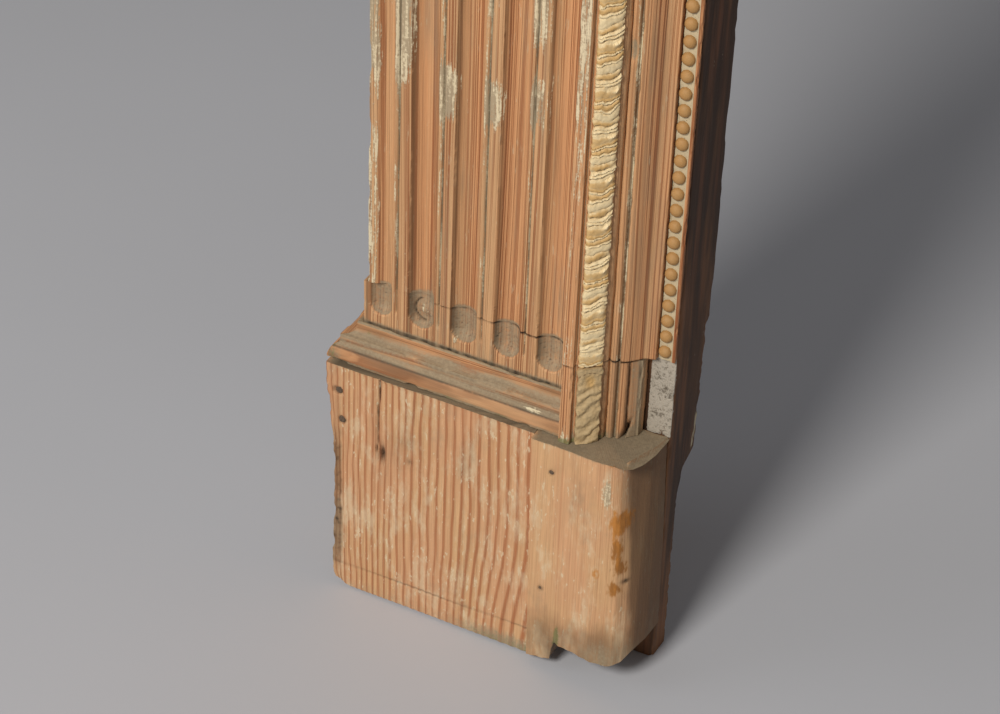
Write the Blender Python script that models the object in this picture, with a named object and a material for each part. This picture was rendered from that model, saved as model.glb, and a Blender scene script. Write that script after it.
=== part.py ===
"""A carved pine fireplace mantel with fluted pilasters, built up from boards and mouldings.

Metres, +Z up. The front faces -Y, X = 0 is the middle of the opening and Z = 0 is the floor.
A place on a jamb is given as (u, p, z): u is how far it lies outwards from the reveal, the side
of the opening, and p how far it stands forwards of the back plane, which goes to the wall. On
the head the same sections lie across, with v, the height above the opening, in place of u.
"""

from math import cos, floor, hypot, pi, radians, sin

import bmesh
import bpy
from mathutils import Vector

GAP = 0.0003            # between pieces that touch
LEFT = -1
RIGHT = 1

# Overall
OPENING_W = 0.980
OPENING_H = 0.965
SHELF_UNDER = 1.222     # height of the shelf's underside
SHELF_T = 0.028
SHELF_D = 0.150
SHELF_OVERHANG = 0.0835  # past the pilaster's outer edge
SHELF_NOSING = 0.006

# Boards behind the mouldings
FACE_P = 0.065          # face of the pilaster and the frieze
BOARD_T = 0.022
LINING_T = 0.022        # reveal boards and soffit
LINING_D = 0.045
RETURN_T = 0.020        # outer side board of a jamb
FOOT_STEP = 0.0025      # the pieced foot of the left jamb is a little wider
REBATE_U = 0.044        # the board's inner edge, lapped by the architrave
JOINT_Z = 0.222         # where the left foot was pieced in

# Flutes, from the architrave outwards
FLUTES = 5
FLUTE_PITCH = 0.0278
FLUTE_FIRST = 0.0697    # middle of the flute next to the architrave
FLUTE_W = 0.0174
LAST_FLUTE_W = 0.0108   # the outermost flute is cut narrower
FLUTE_DEPTH = 0.0062
FLUTE_LAND = 0.0075     # plain land left below and above the round ends
OUTER_LAND = 0.0055     # edge of the board outside the last flute
FOOT_LAND = 0.0036
QUIRK_W = 0.0009
QUIRK_DEPTH = 0.0010
QUIRK_OUT = 0.0115      # from a flute's middle to the line scratched beside it
QUIRK_SHORT = 0.005     # the line stops short of the flute's end by this
FLUTE_SIDES = 12
FLUTE_RINGS = 6

# Architrave: height of each member in front of the back plane
ARCH_W = 0.0544
ARCH_P = 0.081
ARCH_INNER = 0.0107     # its inner edge, beside the bead strip
FOOT_INNER = 0.0168     # the foot piece has lost its inner member
FILLET_W = 0.0072
RIBBON_BED = ((0.0464, 0.0775), (0.0352, 0.0676))
COVE_END = (0.0334, 0.0650)
ASTRAGAL_U = 0.0310
ASTRAGAL_P = 0.0638
ASTRAGAL_R = 0.0024
ASTRAGAL_TURN = (5, 175)  # degrees of the full round that stand clear
GROOVE = ((0.0284, 0.0603), (0.0274, 0.0603))
OGEE_TOP = (0.0272, 0.0622)
OGEE_END = (0.0128, 0.0508)
OGEE_BEND = 0.0011      # how far the ogee swings either side of its chord
OGEE_STEPS = 3

# Moulded composition ribbon in the architrave's sloping bed
RIBBON_W = 0.0145
RIBBON_PITCH = 0.0275
RIBBON_FULL = (1.00, 0.0030)  # share of the width, relief
RIBBON_SHAPE = ((0.80, 0.0012), RIBBON_FULL, (0.92, 0.0022))
RIBBON_SHOULDER = 0.62
RIBBON_FOOT_W = 0.0130
RIBBON_FOOT_T = 0.0022
RIBBON_FOOT_SHORT = 0.0045

# Row of beads
BEAD_STRIP_T = 0.0029
BEAD_EDGE = 0.0021      # plain edge between the beads and the opening
BEAD_D = 0.0082
BEAD_H = 0.0041
BEAD_PITCH = 0.0105
BEAD_SINK = 0.0006
BEAD_CLEAR = 0.0017      # the last bead keeps off the mitre by this
BEAD_SIDES = 5
BEAD_CROWN = 0.55       # flat crown as a share of the bead's radius

# Plinth
PLINTH_H = 0.168
PLINTH_PROUD = 0.014    # past the outer edge of the pieced foot
PLINTH_T = 0.0157
PLINTH_LEAN = 0.0045    # the left board's outer edge draws in towards the floor
PLINTH_RISE = 0.0045    # the left board's bottom is worn away towards the block
BLOCK_W = 0.069
BLOCK_P = 0.0865
BLOCK_ROUND = 0.014
BLOCK_ROUND_U = 0.0065  # inner side, where the rounding ends
BLOCK_BACK_U = 0.0012
BLOCK_LOSS = 0.018      # worn off the left block's foot
ROUND_STEPS = 4

# Broken back edge of the left reveal board
NOTCH_Z = 0.226
NOTCH_D = 0.007
SPLIT_Z = 0.140
BREAK_Z = 0.131
BREAK_P = 0.024
TAPER_Z = 0.112
TAPER_P = 0.029
CUT_SPARE = 0.01        # how far the cutter reaches past the board

# Base and cap moulding: out from the face, up from its underside
BASE_H = 0.0252
BASE_FILLET = 0.0020
BASE_FILLET_H = 0.0037
BASE_CAVETTO = 0.0050
BASE_ARRIS_H = 0.0050
BASE_STEP = 0.0006
BASE_QUIRK = 0.0024
BASE_TORUS = 0.0022
CAP_TOP = 0.0544        # above the opening, level with the architrave's outer edge
MOULD_STEPS = 4

# Frieze and cornice
BLOCK_SUNK = 0.0012     # clear margin round the end blocks
END_BLOCK_T = 0.0075
END_BLOCK_CHAMFER = 0.0025
CORNICE_H = 0.052
CORNICE_FILLET = 0.006
CORNICE_OVOLO = 0.018
CORNICE_MID = 0.006
CORNICE_CAVETTO = 0.016
CORNICE_TOP = 0.004

# Old nails: head size, and how far out and how far below the plinth's top each one is
NAIL_D = 0.0045
NAIL_T = 0.0012
NAIL_POCKET = 0.0018
NAIL_SIDES = 8
BOARD_NAILS = ((0.1985, 0.0181), (0.1965, 0.0391))
BLOCK_NAILS = ((0.0547, 0.0194), (0.0578, 0.1071))

LAST_FLUTE_IN = FLUTE_FIRST + (FLUTES - 1) * FLUTE_PITCH - FLUTE_W / 2
PILASTER_OUTER = LAST_FLUTE_IN + LAST_FLUTE_W + OUTER_LAND
FOOT_OUTER = PILASTER_OUTER + FOOT_STEP
PLINTH_OUTER = FOOT_OUTER + PLINTH_PROUD
BACK_Y = SHELF_D / 2
HALF = OPENING_W / 2
TOP_Z = SHELF_UNDER - GAP
BASE_Z = PLINTH_H + GAP
CAP_Z = OPENING_H + CAP_TOP - BASE_H
FRIEZE_Z = OPENING_H + REBATE_U
ARCH_BACK = LINING_D + GAP
FACE_BACK = FACE_P + GAP
CORNICE_Z = SHELF_UNDER - CORNICE_H
SMOOTH = radians(35)


def jamb(side, u, p, z):
    """A point on the jamb on the given side."""
    return Vector((side * (HALF + u), BACK_Y - p, z))


def head(x, v, p):
    """A point on the head."""
    return Vector((x, BACK_Y - p, OPENING_H + v))


def material(name, colour, roughness, metallic=0.0):
    found = bpy.data.materials.get(name)
    if found:
        return found
    made = bpy.data.materials.new(name)
    made.use_nodes = True
    shader = made.node_tree.nodes["Principled BSDF"]
    shader.inputs["Base Color"].default_value = (*colour, 1.0)
    shader.inputs["Roughness"].default_value = roughness
    shader.inputs["Metallic"].default_value = metallic
    made.diffuse_color = (*colour, 1.0)
    return made


def pine():
    return material("pine", (0.55, 0.23, 0.10), 0.62)


def plinth_pine():
    return material("plinth_pine", (0.48, 0.24, 0.12), 0.66)


def dark_pine():
    return material("dark_pine", (0.07, 0.035, 0.018), 0.70)


def composition():
    return material("composition", (0.62, 0.50, 0.30), 0.60)


def gesso_beads():
    return material("gesso_beads", (0.50, 0.36, 0.18), 0.60)


def iron():
    return material("iron", (0.06, 0.05, 0.045), 0.60, 0.8)


def solid(name, mesh, look):
    """Puts a finished bmesh in the scene as a named object."""
    bmesh.ops.recalc_face_normals(mesh, faces=mesh.faces)
    data = bpy.data.meshes.new(name)
    mesh.to_mesh(data)
    mesh.free()
    data.shade_smooth()
    data.set_sharp_from_angle(angle=SMOOTH)
    data.materials.append(look)
    piece = bpy.data.objects.new(name, data)
    bpy.context.scene.collection.objects.link(piece)
    return piece


def grow(mesh, rings):
    """Extrudes the first ring's face through the other rings, point for point."""
    end = mesh.faces.new([mesh.verts.new(point) for point in rings[0]])
    for number, ring in enumerate(rings[1:]):
        grown = bmesh.ops.extrude_face_region(mesh, geom=[end])
        if number:
            bmesh.ops.delete(mesh, geom=[end], context="FACES_ONLY")
        end = next(item for item in grown["geom"] if isinstance(item, bmesh.types.BMFace))
        for vert, point in zip(end.verts, ring):
            vert.co = point


def loft(name, rings, look):
    mesh = bmesh.new()
    grow(mesh, rings)
    return solid(name, mesh, look)


def upright(name, side, outline, low, high, look):
    """A board or block standing up: its (u, p) outline taken from low to high."""
    rings = [[jamb(side, u, p, z) for u, p in outline] for z in (low, high)]
    return loft(name, rings, look)


def rectangle(u0, u1, p0, p1):
    return [(u0, p0), (u1, p0), (u1, p1), (u0, p1)]


def arc(centre, radius, start, end, steps):
    """Points on an arc, angles in degrees, both ends included."""
    turn = (end - start) / steps
    angles = [radians(start + turn * step) for step in range(steps + 1)]
    return [(centre[0] + radius * cos(a), centre[1] + radius * sin(a)) for a in angles]


def cut(piece, cutter, operation="DIFFERENCE"):
    """Cuts the piece with another, or joins it on, by a Boolean modifier."""
    cutter.hide_render = True
    cutter.display_type = "WIRE"
    boolean = piece.modifiers.new(cutter.name, "BOOLEAN")
    boolean.operation = operation
    boolean.object = cutter
    boolean.solver = "EXACT"


def architrave_section(inner):
    """Outline of the architrave as (u, p), from its outer back corner round to the back."""
    bed_out, bed_in = RIBBON_BED
    fillet_in = ARCH_W - FILLET_W
    astragal = arc((ASTRAGAL_U, ASTRAGAL_P - ASTRAGAL_R), ASTRAGAL_R, *ASTRAGAL_TURN, MOULD_STEPS)
    ogee = []
    for step in range(2 * OGEE_STEPS + 1):
        share = step / (2 * OGEE_STEPS)
        bend = sin(2 * pi * share) * OGEE_BEND
        u = OGEE_TOP[0] + (OGEE_END[0] - OGEE_TOP[0]) * share
        p = OGEE_TOP[1] + (OGEE_END[1] - OGEE_TOP[1]) * share + bend
        ogee.append((u, p))
    front = [(ARCH_W, ARCH_P), (fillet_in, ARCH_P), (fillet_in, bed_out[1]), bed_out, bed_in]
    front += [COVE_END, *astragal, *GROOVE, *ogee, (ARCH_INNER, OGEE_END[1])]
    front = [point for point in front if point[0] >= inner]
    if inner > ARCH_INNER:
        front.append((inner, front[-1][1]))
    back = [(inner, ARCH_BACK), (REBATE_U - GAP, ARCH_BACK), (REBATE_U - GAP, FACE_BACK)]
    return [(ARCH_W, FACE_BACK), *front, *back]


def mitre_z(u):
    """Height at which a jamb piece meets the mitre with the head."""
    return OPENING_H + u - GAP / 2


def mitre_x(v):
    """Distance from the middle at which a head piece meets the mitre."""
    return HALF + v - GAP / 2


def mitred_upright(name, side, outline, low, look):
    """A length up the jamb, from low to its mitre with the head."""
    foot = [jamb(side, u, p, low) for u, p in outline]
    top = [jamb(side, u, p, mitre_z(u)) for u, p in outline]
    return loft(name, [foot, top], look)


def mitred_across(name, outline, look):
    """A length across the head, mitred at both ends."""
    rings = [[head(side * mitre_x(v), v, p) for v, p in outline] for side in (LEFT, RIGHT)]
    return loft(name, rings, look)


def ribbon_section(share, relief, width=RIBBON_W):
    """Outline of the ribbon as (u, p), lying on the sloping bed."""
    (u0, p0), (u1, p1) = RIBBON_BED
    run = hypot(u1 - u0, p1 - p0)
    along = ((u1 - u0) / run, (p1 - p0) / run)
    out = (along[1], -along[0])
    half = width * share / 2
    corners = [(-half, GAP), (-half * RIBBON_SHOULDER, relief + GAP)]
    corners += [(half * RIBBON_SHOULDER, relief + GAP), (half, GAP)]
    middle = ((u0 + u1) / 2, (p0 + p1) / 2)
    return [
        (middle[0] + along[0] * t + out[0] * n, middle[1] + along[1] * t + out[1] * n)
        for t, n in corners
    ]


def ribbon_step():
    return RIBBON_PITCH / len(RIBBON_SHAPE)


def ribbon_stations(low, high):
    """Heights along a ribbon with the section that each one has."""
    step = ribbon_step()
    count = floor((high - low) / step - 0.5)
    for number in range(count + 1):
        shape = RIBBON_SHAPE[number % len(RIBBON_SHAPE)]
        yield low + number * step, ribbon_section(*shape)


def ribbon(name, side, low):
    rings = []
    for z, section in ribbon_stations(low, mitre_z(RIBBON_BED[1][0])):
        rings.append([jamb(side, u, p, z) for u, p in section])
    last = ribbon_section(*RIBBON_FULL)
    rings.append([jamb(side, u, p, mitre_z(u)) for u, p in last])
    return loft(name, rings, composition())


def ribbon_head():
    last = ribbon_section(*RIBBON_FULL)
    reach = mitre_x(RIBBON_BED[1][0])
    rings = [[head(-mitre_x(v), v, p) for v, p in last]]
    for x, section in ribbon_stations(-reach + ribbon_step(), reach):
        rings.append([head(x, v, p) for v, p in section])
    rings.append([head(mitre_x(v), v, p) for v, p in last])
    return loft("ribbon_head", rings, composition())


def ribbon_foot():
    """Worn slab of composition left on the pieced foot."""
    section = ribbon_section(1.0, RIBBON_FOOT_T, RIBBON_FOOT_W)
    top = JOINT_Z - RIBBON_FOOT_SHORT
    return upright("ribbon_foot_left", LEFT, section, BASE_Z, top, composition())


def bead_places(low, high):
    """Evenly spaced bead places between two ends."""
    count = floor((high - low) / BEAD_PITCH)
    first = (low + high - (count - 1) * BEAD_PITCH) / 2
    return [first + number * BEAD_PITCH for number in range(count)]


def bead_row(name, centres):
    """A row of few-sided beads that stand out of a strip's face."""
    mesh = bmesh.new()
    for centre in centres:
        rings = []
        for share, out in ((1.0, -BEAD_SINK), (BEAD_CROWN, BEAD_H)):
            radius = share * BEAD_D / 2
            turns = [2 * pi * corner / BEAD_SIDES for corner in range(BEAD_SIDES)]
            rings.append([centre + Vector((radius * cos(a), -out, radius * sin(a))) for a in turns])
        grow(mesh, rings)
    return solid(name, mesh, gesso_beads())


def strip_section():
    """Outline of the bead strip as (u, p), from the opening to the architrave."""
    return rectangle(0, ARCH_INNER - GAP, ARCH_BACK, ARCH_BACK + BEAD_STRIP_T)


def bead_line():
    """Middle of the bead strip, and the height of its face."""
    return (BEAD_EDGE + ARCH_INNER - GAP) / 2, ARCH_BACK + BEAD_STRIP_T


def bead_strip(side_name, side, low):
    strip = mitred_upright(f"bead_strip_{side_name}", side, strip_section(), low, gesso_beads())
    u, p = bead_line()
    places = bead_places(low, mitre_z(u) - BEAD_CLEAR)
    row = bead_row(f"cut_beads_{side_name}", [jamb(side, u, p, z) for z in places])
    cut(strip, row, "UNION")
    return strip


def bead_strip_head():
    strip = mitred_across("bead_strip_head", strip_section(), gesso_beads())
    v, p = bead_line()
    reach = mitre_x(v) - BEAD_CLEAR
    row = bead_row("cut_beads_head", [head(x, v, p) for x in bead_places(-reach, reach)])
    cut(strip, row, "UNION")
    return strip


def lining_section():
    return rectangle(0, LINING_T, 0, LINING_D)


def reveal_board(name, side):
    """The board that lines one side of the opening."""
    return mitred_upright(name, side, lining_section(), 0, dark_pine())


def broken_reveal_board():
    """The left reveal board, whose back edge is notched and broken off at the foot."""
    board = reveal_board("reveal_board_left", LEFT)
    far = -CUT_SPARE
    loss = [(far, far), (far, NOTCH_Z), (NOTCH_D, NOTCH_Z), (NOTCH_D, SPLIT_Z)]
    loss += [(BREAK_P, BREAK_Z), (TAPER_P, TAPER_Z), (TAPER_P, far)]
    widths = (far, LINING_T + CUT_SPARE)
    rings = [[jamb(LEFT, u, p, z) for p, z in loss] for u in widths]
    cut(board, loft("cut_broken_edge", rings, dark_pine()))
    return board


def flute_middle(number):
    return FLUTE_FIRST + number * FLUTE_PITCH


def flute_cutter(name, side, board_outer, outer_land):
    """Round-ended cutters for the flutes, and the fine lines scratched beside them."""
    bottom = BASE_Z + BASE_H + FLUTE_LAND
    top = CAP_Z - FLUTE_LAND
    mesh = bmesh.new()
    for number in range(FLUTES):
        inner = flute_middle(number) - FLUTE_W / 2
        outer = min(inner + FLUTE_W, board_outer - outer_land)
        width = outer - inner
        depth = FLUTE_DEPTH * width / FLUTE_W
        radius = (width * width / 4 + depth * depth) / (2 * depth)
        made = bmesh.ops.create_uvsphere(
            mesh, u_segments=FLUTE_SIDES, v_segments=FLUTE_RINGS, radius=radius
        )
        for vert in made["verts"]:
            end = top - width / 2 if vert.co.z > radius / 100 else bottom + width / 2
            vert.co += jamb(side, inner + width / 2, FACE_P + radius - depth, end)
    for number in range(1, FLUTES):
        inner = flute_middle(number) - QUIRK_OUT - QUIRK_W / 2
        line = rectangle(inner, inner + QUIRK_W, FACE_P - QUIRK_DEPTH, FACE_P + QUIRK_DEPTH)
        ends = (bottom + QUIRK_SHORT, top - QUIRK_SHORT)
        grow(mesh, [[jamb(side, u, p, z) for u, p in line] for z in ends])
    return solid(name, mesh, pine())


def fluted_board(name, side, outer, outer_land, low, high):
    """One length of a pilaster's board, notched over the plinth block if it reaches down."""
    outline = rectangle(REBATE_U, outer, FACE_P - BOARD_T, FACE_P)
    board = upright(name, side, outline, low, high, pine())
    if low < PLINTH_H:
        corner = rectangle(0, BLOCK_W + GAP, 0, BLOCK_P)
        cut(board, upright(f"cut_notch_{name}", side, corner, low - BLOCK_W, BASE_Z, pine()))
    cut(board, flute_cutter(f"cut_flutes_{name}", side, outer, outer_land))
    return board


def return_board(name, side):
    """The board that closes a jamb's outer side, back to the wall."""
    outline = rectangle(PILASTER_OUTER - RETURN_T, PILASTER_OUTER, 0, FACE_P - BOARD_T - GAP)
    return upright(name, side, outline, 0, TOP_Z, pine())


def nail(name, host, side, u, p, z):
    """An old nail, its head just below the face of the board that it holds."""
    pocket = arc((u, z), NAIL_D / 2 + GAP, 0, 360, NAIL_SIDES)[:-1]
    shank = arc((u, z), NAIL_D / 2, 0, 360, NAIL_SIDES)[:-1]
    floor_p = p - NAIL_POCKET
    hole = [[jamb(side, a, q, b) for a, b in pocket] for q in (floor_p, p + NAIL_POCKET)]
    cut(host, loft(f"cut_{name}", hole, iron()))
    low = floor_p + GAP
    head_rings = [[jamb(side, a, q, b) for a, b in shank] for q in (low, low + NAIL_T)]
    return loft(name, head_rings, iron())


def plinth_board(name, side, lean, rise):
    """Front board of a plinth. A leaning edge and a worn bottom are given as losses."""
    inner = BLOCK_W + GAP
    low = [(PLINTH_OUTER - lean, 0), (inner, rise), (inner, PLINTH_H), (PLINTH_OUTER, PLINTH_H)]
    rings = [[jamb(side, u, p, z) for u, z in low] for p in (FACE_BACK, FACE_BACK + PLINTH_T)]
    return loft(name, rings, plinth_pine())


def plinth_return(name, side, board_outer):
    outline = rectangle(board_outer + GAP, PLINTH_OUTER - PLINTH_LEAN, 0, FACE_P)
    return upright(name, side, outline, 0, PLINTH_H, plinth_pine())


def corner_block(name, side, loss):
    """Plinth block of the architrave, rounded towards the opening."""
    centre = (BLOCK_ROUND_U + BLOCK_ROUND, BLOCK_P - BLOCK_ROUND)
    rounding = arc(centre, BLOCK_ROUND, 90, 180, ROUND_STEPS)
    outline = [(BLOCK_W, ARCH_BACK), (BLOCK_W, BLOCK_P), *rounding, (BLOCK_BACK_U, ARCH_BACK)]
    return upright(name, side, outline, loss, PLINTH_H, plinth_pine())


def base_section():
    """Section of the base moulding as (out, up) from the board's face and its own bed."""
    fillet_z = BASE_H - BASE_FILLET_H
    hollow = (BASE_FILLET + BASE_CAVETTO, fillet_z)
    cavetto = arc(hollow, BASE_CAVETTO, 180, 270, MOULD_STEPS)
    arris = hollow[0] + BASE_STEP
    arris_z = fillet_z - BASE_CAVETTO
    torus_top = arris_z - BASE_ARRIS_H - BASE_QUIRK
    torus_in = arris + BASE_QUIRK
    torus = []
    for step in range(MOULD_STEPS + 1):
        share = step / MOULD_STEPS
        torus.append((torus_in + BASE_TORUS * sin(share * pi / 2), torus_top * (1 - share)))
    front = [(BASE_FILLET, BASE_H), *cavetto, (arris, arris_z), (arris, arris_z - BASE_ARRIS_H)]
    return [(0, 0), (0, BASE_H), *front, *torus]


def cap_section():
    """The base moulding's section turned upside down."""
    return [(out, BASE_H - up) for out, up in base_section()]


def mitred_run(name, side, section, board_outer, low):
    """A moulding on a pilaster's face, from the architrave to the mitre at its outer edge."""
    inner = [jamb(side, ARCH_W + GAP, FACE_BACK + out, low + up) for out, up in section]
    mitre = [jamb(side, board_outer + out, FACE_BACK + out, low + up) for out, up in section]
    return loft(name, [inner, mitre], pine())


def mitred_return(name, side, section, board_outer, low):
    """The same moulding carried back along the jamb's outer side to the wall."""
    foot = board_outer + GAP
    wall = [jamb(side, foot + out, 0, low + up) for out, up in section]
    mitre = [jamb(side, foot + out, FACE_P + out - GAP, low + up) for out, up in section]
    return loft(name, [wall, mitre], pine())


def cornice_section():
    """Section of the cornice as (out, up) from the frieze's face and its own underside."""
    ovolo_in = CORNICE_FILLET
    ovolo = arc((ovolo_in, CORNICE_FILLET + CORNICE_OVOLO), CORNICE_OVOLO, 270, 360, MOULD_STEPS)
    mid_out = ovolo_in + CORNICE_OVOLO
    mid_z = CORNICE_FILLET + CORNICE_OVOLO + CORNICE_MID
    hollow = (mid_out + CORNICE_CAVETTO, mid_z)
    cavetto = arc(hollow, CORNICE_CAVETTO, 180, 90, MOULD_STEPS)
    top = CORNICE_H - GAP
    edge = hollow[0] + CORNICE_TOP
    return [
        (0, 0), (ovolo_in, 0), *ovolo, *cavetto, (edge, mid_z + CORNICE_CAVETTO), (edge, top), (0, top)
    ]


def cornice():
    """Front length of the cornice, mitred at both ends, and its two returns."""
    section = cornice_section()
    ends = []
    for side in (LEFT, RIGHT):
        ends.append([jamb(side, PILASTER_OUTER + o, FACE_BACK + o, CORNICE_Z + z) for o, z in section])
    loft("cornice", ends, pine())
    for side_name, side in (("left", LEFT), ("right", RIGHT)):
        mitred_return(f"cornice_return_{side_name}", side, section, PILASTER_OUTER, CORNICE_Z)


def frieze_board():
    outline = rectangle(-HALF * 2 - PILASTER_OUTER, PILASTER_OUTER, FACE_P - BOARD_T, FACE_P)
    return upright("frieze_board", RIGHT, outline, FRIEZE_Z, TOP_Z, pine())


def end_block(name, side):
    """Plain raised block on the frieze over a pilaster."""
    rings = []
    for out, inset in ((0, 0), (END_BLOCK_T - END_BLOCK_CHAMFER, 0), (END_BLOCK_T, END_BLOCK_CHAMFER)):
        u0 = ARCH_W + BLOCK_SUNK + inset
        u1 = PILASTER_OUTER - BLOCK_SUNK - inset
        z0 = OPENING_H + CAP_TOP + BLOCK_SUNK + inset
        z1 = CORNICE_Z - BLOCK_SUNK - inset
        corners = [(u0, z0), (u1, z0), (u1, z1), (u0, z1)]
        rings.append([jamb(side, u, FACE_BACK + out, z) for u, z in corners])
    return loft(name, rings, pine())


def shelf():
    """The shelf, its front and ends rounded over."""
    rings = []
    reach = PILASTER_OUTER + SHELF_OVERHANG
    for step in range(2 * MOULD_STEPS + 1):
        angle = pi * step / (2 * MOULD_STEPS)
        inset = SHELF_NOSING * (1 - sin(angle))
        z = SHELF_UNDER + SHELF_T * (1 - cos(angle)) / 2
        ring = [jamb(LEFT, reach - inset, p, z) for p in (0, SHELF_D - inset)]
        ring += [jamb(RIGHT, reach - inset, p, z) for p in (SHELF_D - inset, 0)]
        rings.append(ring)
    return loft("shelf", rings, pine())


def clear_scene():
    for piece in list(bpy.data.objects):
        bpy.data.objects.remove(piece)


def left_jamb():
    """The jamb in the photograph: pieced at the foot, worn and with losses."""
    above_joint = JOINT_Z + GAP
    foot_top = JOINT_Z - GAP
    fluted_board("fluted_board_left", LEFT, PILASTER_OUTER, OUTER_LAND, above_joint, FRIEZE_Z - GAP)
    fluted_board("fluted_foot_left", LEFT, FOOT_OUTER, FOOT_LAND, 0, foot_top)
    mitred_upright("architrave_left", LEFT, architrave_section(ARCH_INNER), above_joint, pine())
    upright("architrave_foot_left", LEFT, architrave_section(FOOT_INNER), BASE_Z, foot_top, pine())
    ribbon("ribbon_left", LEFT, above_joint)
    ribbon_foot()
    bead_strip("left", LEFT, above_joint)
    broken_reveal_board()
    board = plinth_board("plinth_board_left", LEFT, PLINTH_LEAN, PLINTH_RISE)
    block = corner_block("corner_block_left", LEFT, BLOCK_LOSS)
    for number, (u, drop) in enumerate(BOARD_NAILS, 1):
        nail(f"plinth_nail_{number}", board, LEFT, u, FACE_BACK + PLINTH_T, PLINTH_H - drop)
    for number, (u, drop) in enumerate(BLOCK_NAILS, 1):
        nail(f"block_nail_{number}", block, LEFT, u, BLOCK_P, PLINTH_H - drop)
    plinth_return("plinth_return_left", LEFT, FOOT_OUTER)
    mitred_run("base_moulding_left", LEFT, base_section(), FOOT_OUTER, BASE_Z)
    mitred_return("base_return_left", LEFT, base_section(), FOOT_OUTER, BASE_Z)


def right_jamb():
    """The other jamb, plainer and whole."""
    fluted_board("fluted_board_right", RIGHT, PILASTER_OUTER, OUTER_LAND, 0, FRIEZE_Z - GAP)
    mitred_upright("architrave_right", RIGHT, architrave_section(ARCH_INNER), BASE_Z, pine())
    ribbon("ribbon_right", RIGHT, BASE_Z)
    bead_strip("right", RIGHT, BASE_Z)
    reveal_board("reveal_board_right", RIGHT)
    plinth_board("plinth_board_right", RIGHT, 0, 0)
    corner_block("corner_block_right", RIGHT, 0)
    plinth_return("plinth_return_right", RIGHT, PILASTER_OUTER)
    mitred_run("base_moulding_right", RIGHT, base_section(), PILASTER_OUTER, BASE_Z)
    mitred_return("base_return_right", RIGHT, base_section(), PILASTER_OUTER, BASE_Z)


def heads_and_shelf():
    for side_name, side in (("left", LEFT), ("right", RIGHT)):
        return_board(f"return_board_{side_name}", side)
        mitred_run(f"cap_moulding_{side_name}", side, cap_section(), PILASTER_OUTER, CAP_Z)
        mitred_return(f"cap_return_{side_name}", side, cap_section(), PILASTER_OUTER, CAP_Z)
        end_block(f"end_block_{side_name}", side)
    mitred_across("architrave_head", architrave_section(ARCH_INNER), pine())
    mitred_across("soffit_board", lining_section(), dark_pine())
    ribbon_head()
    bead_strip_head()
    frieze_board()
    cornice()
    shelf()


clear_scene()
left_jamb()
right_jamb()
heads_and_shelf()
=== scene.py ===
"""Looks of a carved pine fireplace mantel, stripped of its paint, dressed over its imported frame.

Metres, +Z up. A place on a jamb is (u, p, z): u outwards from the opening, p forwards of the back
plane, z above the floor. On the head v, the height above the opening, stands in place of u. The left
jamb is the worn one, pieced at its foot; the right jamb and the head are plainer and whole.
"""

from math import ceil, cos, hypot, pi, radians, sin

import bpy
import numpy as np
from mathutils import Matrix, Vector, noise


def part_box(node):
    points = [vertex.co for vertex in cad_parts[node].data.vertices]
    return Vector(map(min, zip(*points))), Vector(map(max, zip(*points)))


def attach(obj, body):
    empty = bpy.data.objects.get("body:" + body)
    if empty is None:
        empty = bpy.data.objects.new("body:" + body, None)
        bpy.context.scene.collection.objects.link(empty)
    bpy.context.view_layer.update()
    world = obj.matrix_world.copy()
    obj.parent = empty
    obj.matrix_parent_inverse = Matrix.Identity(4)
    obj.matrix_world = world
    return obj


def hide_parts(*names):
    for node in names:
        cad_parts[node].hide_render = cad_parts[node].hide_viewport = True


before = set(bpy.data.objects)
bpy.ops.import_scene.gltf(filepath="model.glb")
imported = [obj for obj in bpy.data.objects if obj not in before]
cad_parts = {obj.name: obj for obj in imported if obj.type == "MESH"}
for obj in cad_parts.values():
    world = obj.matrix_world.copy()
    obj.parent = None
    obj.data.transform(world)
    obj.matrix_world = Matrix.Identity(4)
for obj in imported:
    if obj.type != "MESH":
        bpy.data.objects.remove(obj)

bl_info = {
    "name": "Carved pine mantel",
    "version": (1, 0, 0),
    "blender": (4, 5, 0),
    "location": "3D View > Sidebar > Mantel",
    "description": "Models and finishes a carved pine fireplace mantel over its packed frame",
    "category": "Object",
}

LEFT = -1
RIGHT = 1
SIDES = (("left", LEFT), ("right", RIGHT))
GAP = 0.0003


def low(node):
    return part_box(node)[0]


def high(node):
    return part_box(node)[1]


# Places taken from the frame
BACK_Y = high("reveal_board_right").y
HALF = low("reveal_board_right").x
OPENING_H = low("soffit_board").z
LINING_T = high("soffit_board").z - OPENING_H
LINING_D = BACK_Y - low("soffit_board").y
PLINTH_H = high("plinth_board_right").z
PLINTH_OUTER = high("plinth_board_right").x - HALF
PLINTH_P = BACK_Y - low("plinth_board_right").y
PILASTER_OUTER = high("fluted_board_right").x - HALF
FOOT_OUTER = -low("fluted_foot_left").x - HALF
BOARD_BACK = BACK_Y - high("fluted_board_right").y
FACE_P = BACK_Y - low("fluted_board_right").y
REBATE_U = low("fluted_board_right").x - HALF
BOARD_TOP = high("fluted_board_right").z
FOOT_TOP = high("fluted_foot_left").z
JOINT_Z = FOOT_TOP + GAP
BLOCK_W = high("corner_block_right").x - HALF
ARCH_P = BACK_Y - low("architrave_right").y
BASE_H = high("base_moulding_right").z - low("base_moulding_right").z
CAP_Z = low("cap_moulding_right").z
CORNICE_Z = low("cornice").z
CORNICE_H = high("cornice").z - CORNICE_Z
TOP_Z = high("frieze_board").z
BASE_Z = PLINTH_H + GAP
ARCH_BACK = LINING_D + GAP
FACE_BACK = FACE_P + GAP

# Flutes
FLUTES = 5
FLUTE_FIRST = 0.0697
OUTER_LAND = 0.0055
FOOT_LAND = 0.0036
QUIRK_OUT = 0.0115

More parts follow.
